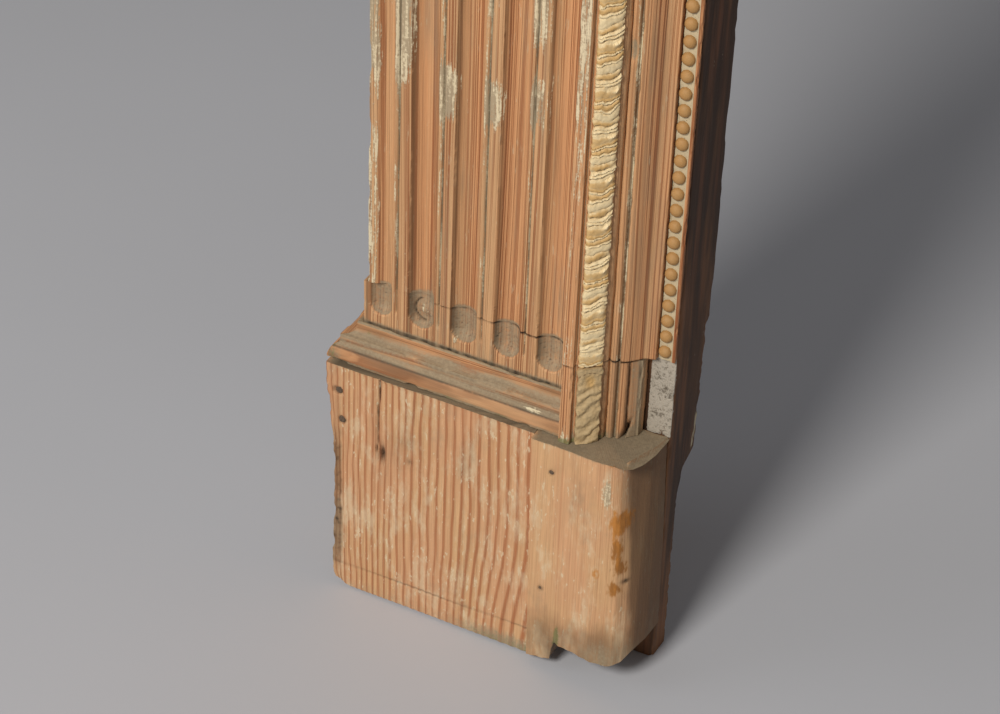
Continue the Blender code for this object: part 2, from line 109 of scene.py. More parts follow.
# Architrave members, as (u, p)
ARCH_W = 0.0544
ARCH_INNER = 0.0107
FOOT_INNER = 0.0168
FILLET_W = 0.0072
RIBBON_BED = ((0.0464, 0.0775), (0.0352, 0.0676))
COVE_END = (0.0334, 0.0650)
ASTRAGAL = (0.0310, 0.0614)
ASTRAGAL_R = 0.0024
GROOVE = ((0.0284, 0.0603), (0.0274, 0.0603))
OGEE_TOP = (0.0272, 0.0622)
OGEE_END = (0.0128, 0.0508)
OGEE_BEND = 0.0011

# Base moulding
BASE_FILLET = 0.0020
BASE_FILLET_H = 0.0037
BASE_CAVETTO = 0.0050
BASE_ARRIS_H = 0.0050
BASE_STEP = 0.0006
BASE_QUIRK = 0.0024
BASE_TORUS = 0.0022

# Cornice
CORNICE_FILLET = 0.006
CORNICE_OVOLO = 0.018
CORNICE_MID = 0.006
CORNICE_CAVETTO = 0.016
CORNICE_TOP = 0.004

# Where the photographed stretch of the left jamb ends, and rings get farther apart
NEAR_TOP = 0.470

# The left jamb's pieces wave this far off straight
SWAY = 0.0003

# Bead strip: its thickness, its plain edge, and how far the last bead keeps off the mitre
STRIP_T = 0.0029
STRIP_EDGE = 0.0021
BEAD_CLEAR = 0.0017

# Plinth: front of the whole block, and how far the side board lies inside the front's edge
BLOCK_P = 0.0865
SIDE_BACK = 0.0045

# The split in the left plinth's board, and the worn slab of ribbon on the foot
SPLIT_U = 0.1722
SLAB_W = 0.0136

# Edges of the end blocks and of the shelf
CHAMFER = 0.0025
NOSING = 0.006

# Outer edge of the left plinth as (z, u)
WORN_EDGE = (
    (0.0, 0.2000), (0.005, 0.2023), (0.019, 0.2033), (0.062, 0.2023), (0.083, 0.2018), (0.117, 0.2031),
    (0.138, 0.2059), (0.155, 0.2074),
)

# Worn underside of the left block as (u, z), and the least it stands forward there as (u, p)
BLOCK_FOOT = (
    (0, 0.030), (0.004, 0.0245), (0.012, 0.0195), (0.024, 0.0187), (0.038, 0.0215), (0.0445, 0.0215),
    (0.0466, 0.0238), (0.0478, 0.0205), (0.0492, 0.0095), (0.0550, 0.0078), (0.065, 0.0065),
)
BLOCK_FOOT_FRONT = (
    (0.0014, ARCH_BACK), (0.0020, 0.0640), (0.0045, 0.0765), (0.0080, 0.0835), (0.0120, 0.0866),
    (0.0190, 0.0870),
)

# Broken back edge of the left lining board as (z, p)
BROKEN_BACK = (
    (0, 0.028), (0.105, 0.029), (0.114, 0.028), (0.131, 0.023), (0.137, 0.0085), (0.224, 0.0065),
    (0.228, 0.0),
)

# How open the left foot's joint stands, as (u, share)
JOINT_OPEN = ((0.086, 1.0), (0.094, 0.55), (0.125, 0.5), (0.140, 0.3), (0.152, 0.2), (0.170, 0.0))

# Camera: its place, how far it turns left, tips down and rolls in degrees, and its lens in mm
CAMERA_PLACE = (0.021, -1.218, 1.2)
CAMERA_TURN = 26.49
CAMERA_TIP = 36.08
CAMERA_ROLL = 2.29
CAMERA_LENS = 106.67

# What the lights are aimed at
AIM = (-0.5, 0, 0.35)


def screen(red, green, blue):
    """A colour as it looks on screen, 0 to 255, as the plain light that materials take."""
    parts = []
    for value in (red, green, blue):
        share = value / 255
        parts.append(share / 12.92 if share <= 0.04045 else ((share + 0.055) / 1.055) ** 2.4)
    return tuple(parts)


def length(name, description, default):
    return bpy.props.FloatProperty(
        name=name, description=description, default=default, min=0, precision=5, unit="LENGTH"
    )


def colour(name, description, default):
    return bpy.props.FloatVectorProperty(
        name=name, description=description, default=screen(*default), size=3, subtype="COLOR",
        min=0, max=1,
    )


class MantelSizes(bpy.types.PropertyGroup):
    """Sizes of the ornament and of the wear."""

    flute_w: length("Flute width", "Width of a whole flute", 0.0174)
    flute_depth: length("Flute depth", "Depth of a whole flute", 0.0062)
    flute_pitch: length("Flute pitch", "From one flute's middle to the next", 0.0278)
    flute_land: length("Flute land", "Plain wood left past the round ends", 0.0075)
    ribbon_w: length("Ribbon width", "Width of the moulded ribbon", 0.0145)
    ribbon_pitch: length("Ribbon repeat", "Length of one repeat of the ribbon", 0.0285)
    bead_d: length("Bead width", "Width of one bead", 0.0080)
    bead_h: length("Bead height", "How far a bead stands out", 0.0029)
    bead_pitch: length("Bead pitch", "From one bead's middle to the next", 0.0105)
    ring_pitch: length("Plinth rings", "Spacing of the ridges by the block", 0.0070)
    chip: length("Chips", "Depth of the chips along worn edges", 0.0014)
    plain_chip: length("Chips elsewhere", "Depth of the chips where the wood is less worn", 0.0005)
    plinth_lean: length("Plinth lean", "How far the left plinth's foot leans in", 0.0042)
    nail_d: length("Plinth nails", "Width of a nail head in the plinth board", 0.0046)
    small_nail_d: length("Block nails", "Width of a nail head in the block", 0.0030)


class MantelColours(bpy.types.PropertyGroup):
    """Colours of the stripped wood and of what is left on it."""

    pine: colour("Pine", "Stripped pine between its rings", (201, 146, 101))
    pine_ring: colour("Pine rings", "Dark lines of the stripped pine", (142, 84, 48))
    pine_pale: colour("Pale pine", "Worn and rubbed pine", (213, 170, 124))
    plinth: colour("Plinth", "Plinth wood between its rings", (204, 156, 116))
    plinth_ring: colour("Plinth rings", "Ridges of the plinth wood", (166, 106, 68))
    dark: colour("Dark wood", "Old brown of the lining boards", (138, 94, 58))
    dark_ring: colour("Dark wood lines", "Darkest lines of the lining boards", (72, 48, 31))
    filler: colour("Filler", "Cream paint and filler left in the grain", (226, 212, 178))
    dust: colour("Dust", "Grey dirt in the hollows", (148, 135, 111))
    ribbon: colour("Ribbon", "Raised parts of the ribbon", (234, 213, 170))
    ribbon_deep: colour("Ribbon hollows", "Ochre in the ribbon's hollows", (204, 166, 108))
    bead: colour("Beads", "Ochre of the beads", (176, 134, 82))
    ground: colour("Bead ground", "Rough ground between the beads", (194, 178, 146))
    # This colour is also the painted shade on the flutes' outer walls, in the architrave's groove and cove,
    # and on the left block's side towards the opening.
    grime_and_shade: colour("Grime", "Brown grime on walls that catch it", (130, 98, 68))
    moss: colour("Moss", "Green along the damp joints", (108, 112, 66))
    stain: colour("Stain", "Amber stains on the block", (188, 118, 30))
    rust: colour("Rust", "Old nail heads", (118, 98, 80))
    floor: colour("Floor", "Studio floor", (186, 188, 194))


def sizes():
    return bpy.context.scene.mantel_sizes


def colours():
    return bpy.context.scene.mantel_colours


def speckle(points, scale, seed=0.0):
    """Smooth noise from -1 to 1 at each point, its grains about scale metres across."""
    moved = np.asarray(points) / scale + seed
    return np.array([noise.noise(Vector(point)) for point in moved])


def line_noise(values, scale, seed=0.0):
    """The same along a line."""
    values = np.atleast_1d(values)
    return np.array([noise.noise(Vector((value / scale, seed, -seed))) for value in values])


def between(values, start, end):
    """0 before start, 1 after end, and a smooth rise from one to the other."""
    share = np.clip((values - start) / (end - start), 0, 1)
    return share * share * (3 - 2 * share)


def bump_at(values, middle, width):
    """1 at the middle, falling smoothly to 0 a width or two away."""
    return np.exp(-(((values - middle) / width) ** 2))


def through(values, pairs):
    """Straight lines through (place, value) pairs."""
    return np.interp(values, *zip(*pairs))


def stations(start, end, coarse, *fine):
    """Places from start to end, closer together within the fine spans (from, to, step)."""
    found = {round(start, 5), round(end, 5)}
    for place in np.arange(start, end, coarse):
        if not any(a < place < b for a, b, _ in fine):
            found.add(round(float(place), 5))
    for a, b, step in fine:
        inside = [place for place in np.arange(a, b, step) if start < place < end]
        found.update(round(float(place), 5) for place in inside)
    return np.array(sorted(found))


def arc(centre, radius, start, end, steps=8):
    """Points on an arc, angles in degrees."""
    turns = np.radians(np.linspace(start, end, steps + 1))
    return [(centre[0] + radius * cos(a), centre[1] + radius * sin(a)) for a in turns]


def rectangle(a0, a1, b0, b1):
    return [(a0, b0), (a1, b0), (a1, b1), (a0, b1)]


def unit(vectors):
    return vectors / np.maximum(np.linalg.norm(vectors, axis=-1, keepdims=True), 1e-9)


class Outline:
    """A closed outline with eased corners, which knows where its arrises and hollows are."""

    def __init__(self, corners, ease=0.0005, step=0.004, reach=0.0022, hollow_reach=0.0030):
        raw = np.array(corners, float)
        back = np.roll(raw, 1, 0) - raw
        on = np.roll(raw, -1, 0) - raw
        area = np.sum(raw[:, 0] * np.roll(raw[:, 1], -1) - raw[:, 1] * np.roll(raw[:, 0], -1))
        turn = (-back[:, 0] * on[:, 1] + back[:, 1] * on[:, 0]) * np.sign(area)
        inward = unit(back) + unit(on)
        sharp = np.linalg.norm(inward, axis=1)
        self.points = self.filled(raw, unit(back), unit(on), back, on, sharp, ease, step)
        away = np.linalg.norm(self.points[:, None] - raw[None], axis=2)
        arris = np.clip(1 - away / reach, 0, 1) * np.where(turn > 0, np.minimum(sharp, 1), 0)
        nook = np.clip(1 - away / hollow_reach, 0, 1) * np.where(turn < 0, np.minimum(sharp, 1), 0)
        self.edge = arris.max(1)
        self.hollow = nook.max(1)
        self.inward = unit(inward)[arris.argmax(1)]

    @staticmethod
    def filled(raw, to_back, to_on, back, on, sharp, ease, step):
        """Rounds each sharp corner and puts points along the long sides."""
        eased = []
        for index, corner in enumerate(raw):
            cut = min(ease, 0.4 * np.linalg.norm(back[index]), 0.4 * np.linalg.norm(on[index]))
            if sharp[index] < 0.3 or cut < 1e-5:
                eased.append(corner)
                continue
            first = corner + to_back[index] * cut
            last = corner + to_on[index] * cut
            for t in (0, 1 / 3, 2 / 3, 1):
                eased.append((1 - t) ** 2 * first + 2 * t * (1 - t) * corner + t * t * last)
        points = []
        for here, there in zip(eased, eased[1:] + eased[:1]):
            pieces = max(1, ceil(np.linalg.norm(there - here) / step))
            points.extend(here + (there - here) * part / pieces for part in range(pieces))
        return np.array(points)


def points_at(x, y, z):
    """Points as rows, each of x, y and z one number or one for each row."""
    return np.column_stack(np.broadcast_arrays(x, y, z))


def jamb(side, u, p, z):
    """Places on the jamb of the given side."""
    return points_at(side * (HALF + u), BACK_Y - p, z)


def head(x, v, p):
    """Places on the head."""
    return points_at(x, BACK_Y - p, OPENING_H + v)


def level(side, z):
    """Puts (u, p) points on a jamb at one height."""
    return lambda q: jamb(side, q[:, 0], q[:, 1], z)


class Length:
    """A piece grown from one outline to another, ring by ring, and then worn."""

    def __init__(self, name, outline, start, end, shares, side=RIGHT):
        """start and end give the places of (n, 2) points; shares are the rings' places, 0 to 1."""
        self.name = name
        self.outline = outline
        self.side = side
        self.first = start(outline.points)
        self.last = end(outline.points)
        self.piece = self.grow(len(self.first), self.spread(np.asarray(shares, float)))
        self.co = self.first[self.point] * (1 - self.share[:, None])
        self.co += self.last[self.point] * self.share[:, None]
        inside = start(outline.points + outline.inward * 0.001) - self.first
        self.into = unit(inside)[self.point]
        self.edge = outline.edge[self.point]
        self.notes = {"hollow": outline.hollow[self.point], "edge": self.edge.copy()}

    def spread(self, shares):
        """Adds rings in the widest gaps until the count suits two rounds of cutting."""
        groups = ceil((len(shares) - 1) / 90)
        wanted = groups * ceil((len(shares) - 1) / groups) + 1
        while len(shares) < wanted:
            gap = int(np.argmax(np.diff(shares)))
            shares = np.insert(shares, gap + 1, shares[gap : gap + 2].mean())
        self.groups = groups
        return shares

    def grow(self, count, shares):
        bpy.ops.object.select_all(action="DESELECT")
        bpy.ops.mesh.primitive_circle_add(vertices=count, fill_type="NGON")
        piece = bpy.context.object
        piece.name = self.name
        piece.data.name = self.name
        piece.location = (0, 0, 0)
        piece.data.vertices.foreach_set("co", self.first.ravel())
        write_note(piece, "point", np.arange(count))
        write_note(piece, "along", np.zeros(count))
        bpy.ops.object.mode_set(mode="EDIT")
        bpy.ops.mesh.select_all(action="SELECT")
        bpy.ops.mesh.extrude_region_move(TRANSFORM_OT_translate={"value": (0, 0, 1)})
        bpy.ops.object.mode_set(mode="OBJECT")
        chosen = np.zeros(len(piece.data.vertices), bool)
        piece.data.vertices.foreach_get("select", chosen)
        write_note(piece, "along", chosen)
        rings = len(shares) - 1
        for pieces in (self.groups, rings // self.groups):
            if pieces > 1:
                self.cut_long_edges(piece, pieces - 1)
        along = read_note(piece, "along")
        self.point = np.rint(read_note(piece, "point")).astype(int)
        self.ring = np.rint(along * rings).astype(int)
        self.share = shares[self.ring]
        return piece

    @staticmethod
    def cut_long_edges(piece, cuts):
        along = read_note(piece, "along")
        ends = np.zeros(len(piece.data.edges) * 2, np.int32)
        piece.data.edges.foreach_get("vertices", ends)
        ends = ends.reshape(-1, 2)
        long = np.abs(along[ends[:, 0]] - along[ends[:, 1]]) > 1e-6
        bpy.context.tool_settings.mesh_select_mode = (False, True, False)
        bpy.ops.object.mode_set(mode="EDIT")
        bpy.ops.mesh.select_all(action="DESELECT")
        bpy.ops.object.mode_set(mode="OBJECT")
        piece.data.edges.foreach_set("select", long)
        bpy.ops.object.mode_set(mode="EDIT")
        bpy.ops.mesh.subdivide(number_cuts=cuts)
        bpy.ops.object.mode_set(mode="OBJECT")
        bpy.context.tool_settings.mesh_select_mode = (True, False, False)

    @property
    def u(self):
        return self.side * self.co[:, 0] - HALF

    @u.setter
    def u(self, values):
        self.co[:, 0] = self.side * (HALF + values)

    @property
    def p(self):
        return BACK_Y - self.co[:, 1]

    @p.setter
    def p(self, values):
        self.co[:, 1] = BACK_Y - values

    @property
    def z(self):
        return self.co[:, 2]

    @z.setter
    def z(self, values):
        self.co[:, 2] = values

    def wear(self, chip, seed, size=0.016, amount=0.12):
        """Knocks chips out of the arrises, where the noise is above the given amount."""
        depth = np.clip((speckle(self.co, size, seed) - amount) * 4, 0, 1)
        fine = np.clip(speckle(self.co, size / 4, seed + 9), 0, 1)
        loss = self.edge * chip * (0.12 + 0.9 * depth + 0.5 * fine)
        self.co += self.into * loss[:, None]
        self.notes["chip"] = self.edge * np.maximum(depth, fine * 0.6)
        return self

    def sway(self, size=0.06, seed=3.0):
        """Takes the machine straightness off: the same slow wave in all the pieces it meets."""
        for axis in range(3):
            self.co[:, axis] += SWAY * speckle(self.co, size, seed + 11 * axis)
        self.co[:, 1] = np.minimum(self.co[:, 1], BACK_Y)
        self.co[:, 2] = np.maximum(self.co[:, 2], 0.0002)
        return self

    def finish(self, look, slot, *nodes):
        self.piece.data.vertices.foreach_set("co", self.co.ravel())
        for name, values in self.notes.items():
            write_note(self.piece, name, np.clip(values, 0, 1))
        for name in ("point", "along"):
            self.piece.data.attributes.remove(self.piece.data.attributes[name])
        return settle(self.piece, look, slot, *nodes)


def standing(name, outline, side, z0, z1, marks):
    """A length straight up a jamb, with its rings at the marks."""
    return Length(name, outline, level(side, z0), level(side, z1), (marks - z0) / (z1 - z0), side)


def write_note(piece, name, values):
    """Keeps a number for each vertex on the mesh."""
    found = piece.data.attributes.get(name) or piece.data.attributes.new(name, "FLOAT", "POINT")
    found.data.foreach_set("value", np.asarray(values, np.float32))


def read_note(piece, name):
    values = np.zeros(len(piece.data.vertices), np.float32)
    piece.data.attributes[name].data.foreach_get("value", values)
    return values


def settle(piece, look, slot, *nodes):
    """Closes a piece's seams, turns its faces outwards and puts it on the frame."""
    bpy.ops.object.select_all(action="DESELECT")
    bpy.context.view_layer.objects.active = piece
    piece.select_set(True)
    bpy.ops.object.mode_set(mode="EDIT")
    bpy.ops.mesh.select_all(action="SELECT")
    bpy.ops.mesh.remove_doubles(threshold=0.00001)
    bpy.ops.mesh.select_all(action="SELECT")
    bpy.ops.mesh.normals_make_consistent(inside=False)
    bpy.ops.object.mode_set(mode="OBJECT")
    bpy.ops.object.shade_smooth_by_angle(angle=radians(38))
    piece.data.materials.clear()
    piece.data.materials.append(look)
    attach(piece, "root")
    if nodes:
        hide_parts(*nodes)
    return piece


class Number:
    """A number that changes over the surface, worked with as any other number is."""

    def __init__(self, finish, socket):
        self.finish = finish
        self.socket = socket

    def __add__(self, other):
        return self.finish.maths("ADD", self, other)

    def __sub__(self, other):
        return self.finish.maths("SUBTRACT", self, other)

    def __rsub__(self, other):
        return self.finish.maths("SUBTRACT", other, self)

    def __mul__(self, other):
        return self.finish.maths("MULTIPLY", self, other)

    def __pow__(self, other):
        return self.finish.maths("POWER", self, other)

    __radd__ = __add__

    def most(self, other):
        return self.finish.maths("MAXIMUM", self, other)

    def rise(self, start, end):
        """0 below start, 1 above end."""
        settings = {"interpolation_type": "SMOOTHSTEP"}
        values = {"Value": self, "From Min": start, "From Max": end}
        return Number(self.finish, self.finish.node("MapRange", settings, values).outputs[0])


class Finish:
    """A material in the making."""

    def __init__(self, name):
        self.material = bpy.data.materials.new(name)
        self.material.use_nodes = True
        self.tree = self.material.node_tree
        self.shader = self.tree.nodes["Principled BSDF"]
        self.place = self.node("TexCoord").outputs["Object"]
        split = self.node("SeparateXYZ", values={0: self.place})
        self.x, self.y, self.z = (Number(self, socket) for socket in split.outputs)

    def node(self, kind, settings=None, values=None):
        """One node, its settings made first and then the values or links of its sockets."""
        made = self.tree.nodes.new("ShaderNode" + kind)
        for key, value in (settings or {}).items():
            setattr(made, key, value)
        for key, value in (values or {}).items():
            self.feed(made.inputs[key], value)
        return made

    def feed(self, socket, value):
        if isinstance(value, Number):
            value = value.socket
        if isinstance(value, bpy.types.NodeSocket):
            self.tree.links.new(value, socket)
        elif socket.type == "RGBA":
            socket.default_value = (*tuple(value)[:3], 1)
        else:
            socket.default_value = value

    def maths(self, operation, one, two):
        return Number(self, self.node("Math", {"operation": operation}, {0: one, 1: two}).outputs[0])

    def stretched(self, by):
        """Object coordinates times a factor for each axis."""
        settings = {"operation": "MULTIPLY"}
        return self.node("VectorMath", settings, {0: self.place, 1: by}).outputs[0]

    def noise(self, by, detail=2.0, rough=0.5):
        """Noise whose grains are 1 / by metres long on each axis."""
        values = {"Vector": self.stretched(by), "Scale": 1.0, "Detail": detail, "Roughness": rough}
        return Number(self, self.node("TexNoise", {}, values).outputs[0])

    def note(self, name):
        """A number that the mesh carries."""
        return Number(self, self.node("Attribute", {"attribute_name": name}).outputs["Fac"])

    def blend(self, amount, below, above):
        settings = {"data_type": "RGBA"}
        return self.node("Mix", settings, {0: amount, 6: below, 7: above}).outputs[2]

    def shade(self, tint, amount):
        """A colour made darker or lighter by a number."""
        settings = {"operation": "SCALE"}
        return self.node("VectorMath", settings, {0: tint, "Scale": amount}).outputs[0]

    def done(self, tint, roughness, height, relief, metallic=None):
        """Joins the colour, the roughness and the height, in metres, to the shader."""
        self.feed(self.shader.inputs["Base Color"], tint)
        self.feed(self.shader.inputs["Roughness"], roughness)
        if metallic is not None:
            self.feed(self.shader.inputs["Metallic"], metallic)
        self.shader.inputs["Specular IOR Level"].default_value = 0.35
        bump = self.node("Bump", {}, {"Height": height, "Distance": relief, "Strength": 1.0})
        self.feed(self.shader.inputs["Normal"], bump.outputs["Normal"])
        return self.material


def across(grain, over, along):
    """Noise factors for an axis of grain: over across it and along with it."""
    return tuple(along if axis == grain else over for axis in range(3))


class Timber:
    """Ring lines round a far pith, and fibres, for a material that is being made."""

    def __init__(self, finish, grain, pith, waver):
        places = (finish.x, finish.y, finish.z)
        sides = [number for axis, number in enumerate(places) if axis != grain]
        drift = (finish.noise(across(grain, 14, 2.2), 2.0) - 0.5) * waver
        self.finish = finish
        self.along = places[grain]
        self.radius = ((sides[0] - pith[0]) ** 2 + (sides[1] - pith[1]) ** 2) ** 0.5 + drift
        self.fibre = finish.noise(across(grain, 1100, 30), 3.0, 0.6)

    def lines(self, over, along, detail=1.0):
        """Uneven lines that follow the rings, over to the metre across and along with them."""
        values = {0: self.radius * over, 1: self.along * along, 2: 0.0}
        place = self.finish.node("CombineXYZ", {}, values).outputs[0]
        values = {"Vector": place, "Scale": 1.0, "Detail": detail, "Roughness": 0.6}
        return Number(self.finish, self.finish.node("TexNoise", {}, values).outputs[0])


def made_once(make):
    """Hands out the material of that name where there is one, and makes it where there isn't."""

    def look(name, *rest):
        return bpy.data.materials.get(name) or make(name, *rest)

    return look


def weathered(finish, tint, grain):
    """Dirt, filler and moss over bare wood, where the mesh says that they are."""
    paint = colours()
    grit = finish.noise((520, 520, 520), 3.0, 0.65)
    streak = finish.noise(across(grain, 560, 34), 3.0, 0.65)
    dirt = finish.note("hollow") * 0.7 + finish.note("dust") + (grit - 0.5) * 0.5
    dusty = (dirt + (streak - 0.5) * 0.5).rise(0.25, 0.85)
    dusty_tint = finish.blend(
        grit.rise(0.30, 0.70), finish.shade(paint.dust, 0.80), finish.shade(paint.dust, 1.08)
    )
    tint = finish.blend(dusty * 0.85, tint, dusty_tint)
    left = (finish.note("filler") + (streak - 0.5) * 2.0 + (grit - 0.5) * 0.6).rise(0.45, 0.7)
    thin = finish.shade(paint.dust, 1.32)
    filler_tint = finish.blend((streak + (grit - 0.5) * 0.5).rise(0.48, 0.62), thin, paint.filler)
    tint = finish.blend(left * 0.85, tint, filler_tint)
    mossy = (finish.note("moss") + (grit - 0.5) * 1.0).rise(0.35, 0.75)
    tint = finish.blend(mossy * 0.75, tint, paint.moss)
    # Besides cracks and pits, this darkening carries painted shade on the left block's side towards the
    # opening and on the outer walls of the flutes' round ends.
    pits = finish.note("crack_and_shade") * (0.6 + grit * 0.8)
    return finish.shade(tint, (1 - pits * 0.92).most(0.06)), grit, left, dusty


@made_once
def pine(name, grain, pith=(0.02, 0.14), waver=0.010, spread=1.0):
    """Stripped pine with its grain along axis 0, 1 or 2. A wide spread has wider rings."""
    paint = colours()
    finish = Finish(name)
    wood = Timber(finish, grain, pith, waver)
    bands = wood.lines(110 / spread, 0.9)
    wide = wood.lines(430 / spread, 1.3)
    rings = wood.lines(1150 / spread, 1.6)
    fine = wood.lines(2600, 7.0, 2.0)
    tan = finish.shade(paint.pine_pale, 0.90)
    tint = finish.blend((bands + finish.note("land") * 0.2).rise(0.40, 0.72) * 0.8, paint.pine, tan)
    strong = bands.rise(0.66, 0.40) * 0.40 + 0.60
    dark = (rings.rise(0.49, 0.61) * strong).most(wide.rise(0.60, 0.70) * 0.45)
    tint = finish.blend(dark * (0.88 if spread == 1 else 0.55), tint, paint.pine_ring)
    tint = finish.blend(fine.rise(0.53, 0.66) * 0.55, tint, finish.shade(paint.pine_ring, 0.85))
    tint = finish.blend(rings.rise(0.42, 0.30) * 0.4, tint, paint.pine_pale)
    fleck = finish.noise(across(grain, 420, 60), 3.0, 0.7)
    tint = finish.blend(fleck.rise(0.62, 0.72) * 0.35, tint, finish.shade(paint.filler, 0.82))
    cloud = finish.noise(across(grain, 60, 11), 3.0, 0.6)
    grey = finish.shade(paint.dust, 0.86)
    tint = finish.blend((cloud + (wide - 0.5) * 0.5).rise(0.50, 0.80) * 0.4, tint, grey)
    # Brown dirt, plus painted shade where the mesh notes it: on the flutes' outer walls and in the
    # architrave's groove and cove.
    brown = (finish.note("grime_and_shade") + (cloud - 0.5) * 0.5 + (rings - 0.5) * 0.7).rise(0.18, 1.0)
    tint = finish.blend(brown * 0.85, tint, paint.grime_and_shade)
    tint = finish.shade(tint, wood.fibre * 0.5 + 0.76)
    tint = finish.blend(finish.note("edge") * 0.35, tint, paint.pine_pale)
    tint, grit, left, dusty = weathered(finish, tint, grain)
    clean = 1 - dusty * 0.8
    height = (dark * 0.5 + fine * 0.5 + wood.fibre * 0.4) * clean + left * 0.5 + grit * 0.3
    return finish.done(tint, dusty * 0.2 + 0.62, height, 0.00032)


@made_once
def plinth_pine(name, pith, fine_ring=520):
    """Coarser pine of the plinth. Its ring ridges are in the mesh where it has a ring note."""
    paint = colours()
    finish = Finish(name)
    wood = Timber(finish, 2, pith, 0.006)
    rings = wood.lines(fine_ring, 1.4)
    fine = wood.lines(2300, 7.0, 2.0)
    cloud = finish.noise((34, 34, 14), 3.0, 0.6)
    thin = rings.rise(0.50, 0.66) * 0.34
    ridge = (finish.note("ring") + (fine - 0.5) * 0.6 + (cloud - 0.5) * 0.5).rise(0.25, 0.95)
    lines = (ridge * 0.92).most(thin)
    tint = finish.blend(cloud.rise(0.35, 0.7), paint.plinth, finish.shade(paint.pine_pale, 0.92))
    tint = finish.blend(lines, tint, paint.plinth_ring)
    tint = finish.blend(fine.rise(0.55, 0.75) * 0.30, tint, finish.shade(paint.plinth_ring, 0.8))
    tint = finish.shade(tint, wood.fibre * 0.5 + 0.76)
    specks = finish.noise((430, 430, 150), 3.0, 0.6)
    haze = finish.noise((90, 90, 30), 4.0, 0.7)
    pale = (haze + finish.note("chalk") * 0.10).rise(0.50, 0.72) * 0.42
    stain_haze = finish.noise((44, 44, 22), 4.0, 0.65).rise(0.54, 0.74) * 0.35
    tint = finish.blend(stain_haze, tint, finish.shade(paint.dust, 0.9))
    pale = pale.most((specks + (haze - 0.5) * 0.5 + finish.note("chalk") * 0.04).rise(0.63, 0.70) * 0.6)
    tint = finish.blend(pale, tint, finish.shade(paint.filler, 0.96))
    # Dirt, plus the painted shade on the left block's side that faces the opening, away from the light.
    grime_and_shade = (finish.note("grime_and_shade") * 0.6 + finish.noise((26, 26, 12), 4.0, 0.65)).rise(0.55, 0.95)
    tint = finish.blend(grime_and_shade * 0.75, tint, finish.shade(paint.grime_and_shade, 0.70))
    amber = (finish.note("stain") + (specks - 0.5) * 1.3 + (haze - 0.5) * 1.8).rise(0.36, 0.78)
    amber_tint = finish.blend(haze.rise(0.4, 0.6), finish.shade(paint.stain, 0.6), paint.stain)
    tint = finish.blend(amber * 0.85, tint, amber_tint)
    tint, grit, _, dusty = weathered(finish, tint, 2)
    height = lines * 0.3 + fine * 0.4 + wood.fibre * 0.5 + grit * 0.35
    return finish.done(tint, dusty * 0.15 + 0.66, height, 0.0003)


@made_once
def dark_pine(name, grain):
    """Old brown pine of the linings, with a few smears of white paint."""
    paint = colours()
    finish = Finish(name)
    wood = Timber(finish, grain, (0.3, 0.2), 0.01)
    rings = wood.lines(420, 1.4)
    fine = wood.lines(1300, 6.0, 2.0)
    broad = finish.noise(across(grain, 44, 7), 4.0, 0.65)
    tint = finish.blend(broad.rise(0.38, 0.66), paint.dark_ring, paint.dark)
    tint = finish.blend(rings.rise(0.48, 0.64) * 0.65, tint, finish.shade(paint.dark_ring, 0.7))
    warm = finish.noise(across(grain, 130, 9), 3.0, 0.6).rise(0.50, 0.72)
    tint = finish.blend(warm * 0.6, tint, finish.shade(paint.plinth_ring, 0.62))
    tint = finish.shade(tint, fine * 0.9 + 0.5)
    smear = finish.noise(across(grain, 300, 40), 3.0, 0.7) + finish.note("paint") * 0.22
    tint = finish.blend(smear.rise(0.72, 0.78) * 0.8, tint, finish.shade(paint.filler, 0.85))
    tint, grit, *_ = weathered(finish, tint, grain)
    spots = finish.noise((620, 620, 620), 4.0, 0.7)
    sooty = (finish.noise((90, 90, 90), 3.0, 0.6) - 0.5) * 0.5 + finish.note("plaster") * 0.12 + 0.30
    pits = (sooty - spots + 0.5).rise(0.40, 0.66) * 0.85
    grey_ground = finish.blend(0.35, finish.shade(paint.ground, 0.86), paint.floor)
    pitted = finish.blend(pits, grey_ground, finish.shade(paint.dust, 0.30))
    plaster = (finish.note("plaster") + (grit - 0.5) * 0.6).rise(0.4, 0.6)
    tint = finish.blend(plaster * 0.96, tint, pitted)
    height = rings * 0.5 + fine * 0.5 + broad * 0.5 + grit * 0.3 + plaster * spots * 1.2
    return finish.done(tint, wood.fibre * 0.2 + 0.55, height, 0.0005)


@made_once
def moulded(name, high_tint, deep_tint):
    """Moulded composition: paler where it is high, ochre and dirty in its hollows."""
    paint = colours()
    finish = Finish(name)
    grit = finish.noise((900, 900, 900), 3.0, 0.65)
    cloud = finish.noise((230, 230, 230), 3.0, 0.6)
    deep = finish.note("deep") + (cloud - 0.5) * 0.7
    tint = finish.blend(deep.rise(0.10, 0.95), high_tint, deep_tint)
    soot = (finish.note("crack_and_shade") + (grit - 0.5) * 0.5).rise(0.4, 0.9)
    tint = finish.blend(soot * 0.75, tint, finish.shade(paint.grime_and_shade, 0.7))
    wood = finish.note("wood").rise(0.4, 0.6)
    fibre = finish.noise((900, 900, 22), 3.0, 0.6)
    bare = finish.blend(fibre.rise(0.35, 0.7), paint.pine_ring, paint.pine)
    tint = finish.blend(wood, tint, bare)
    speck = grit.rise(0.6, 0.72) * (1 - wood) * finish.note("ground")
    tint = finish.blend(speck * 0.7, tint, finish.shade(paint.dust, 0.3))
    height = grit * 0.5 + cloud * 0.6
    return finish.done(tint, cloud * 0.25 + 0.5, height, 0.0003)


@made_once
def rusty(name):
    finish = Finish(name)
    grit = finish.noise((1500, 1500, 1500), 3.0, 0.7)
    tint = finish.blend(grit.rise(0.35, 0.7), finish.shade(colours().rust, 0.4), colours().rust)
    return finish.done(tint, grit * 0.3 + 0.6, grit, 0.0003, grit.rise(0.5, 0.9) * 0.6)


def pine_up():
    return pine("stripped_pine_upright", 2)


def pine_across():
    return pine("stripped_pine_across", 0, (0.1, 0.14))


def pine_back():
    return pine("stripped_pine_return", 1, (0.0, 0.05))


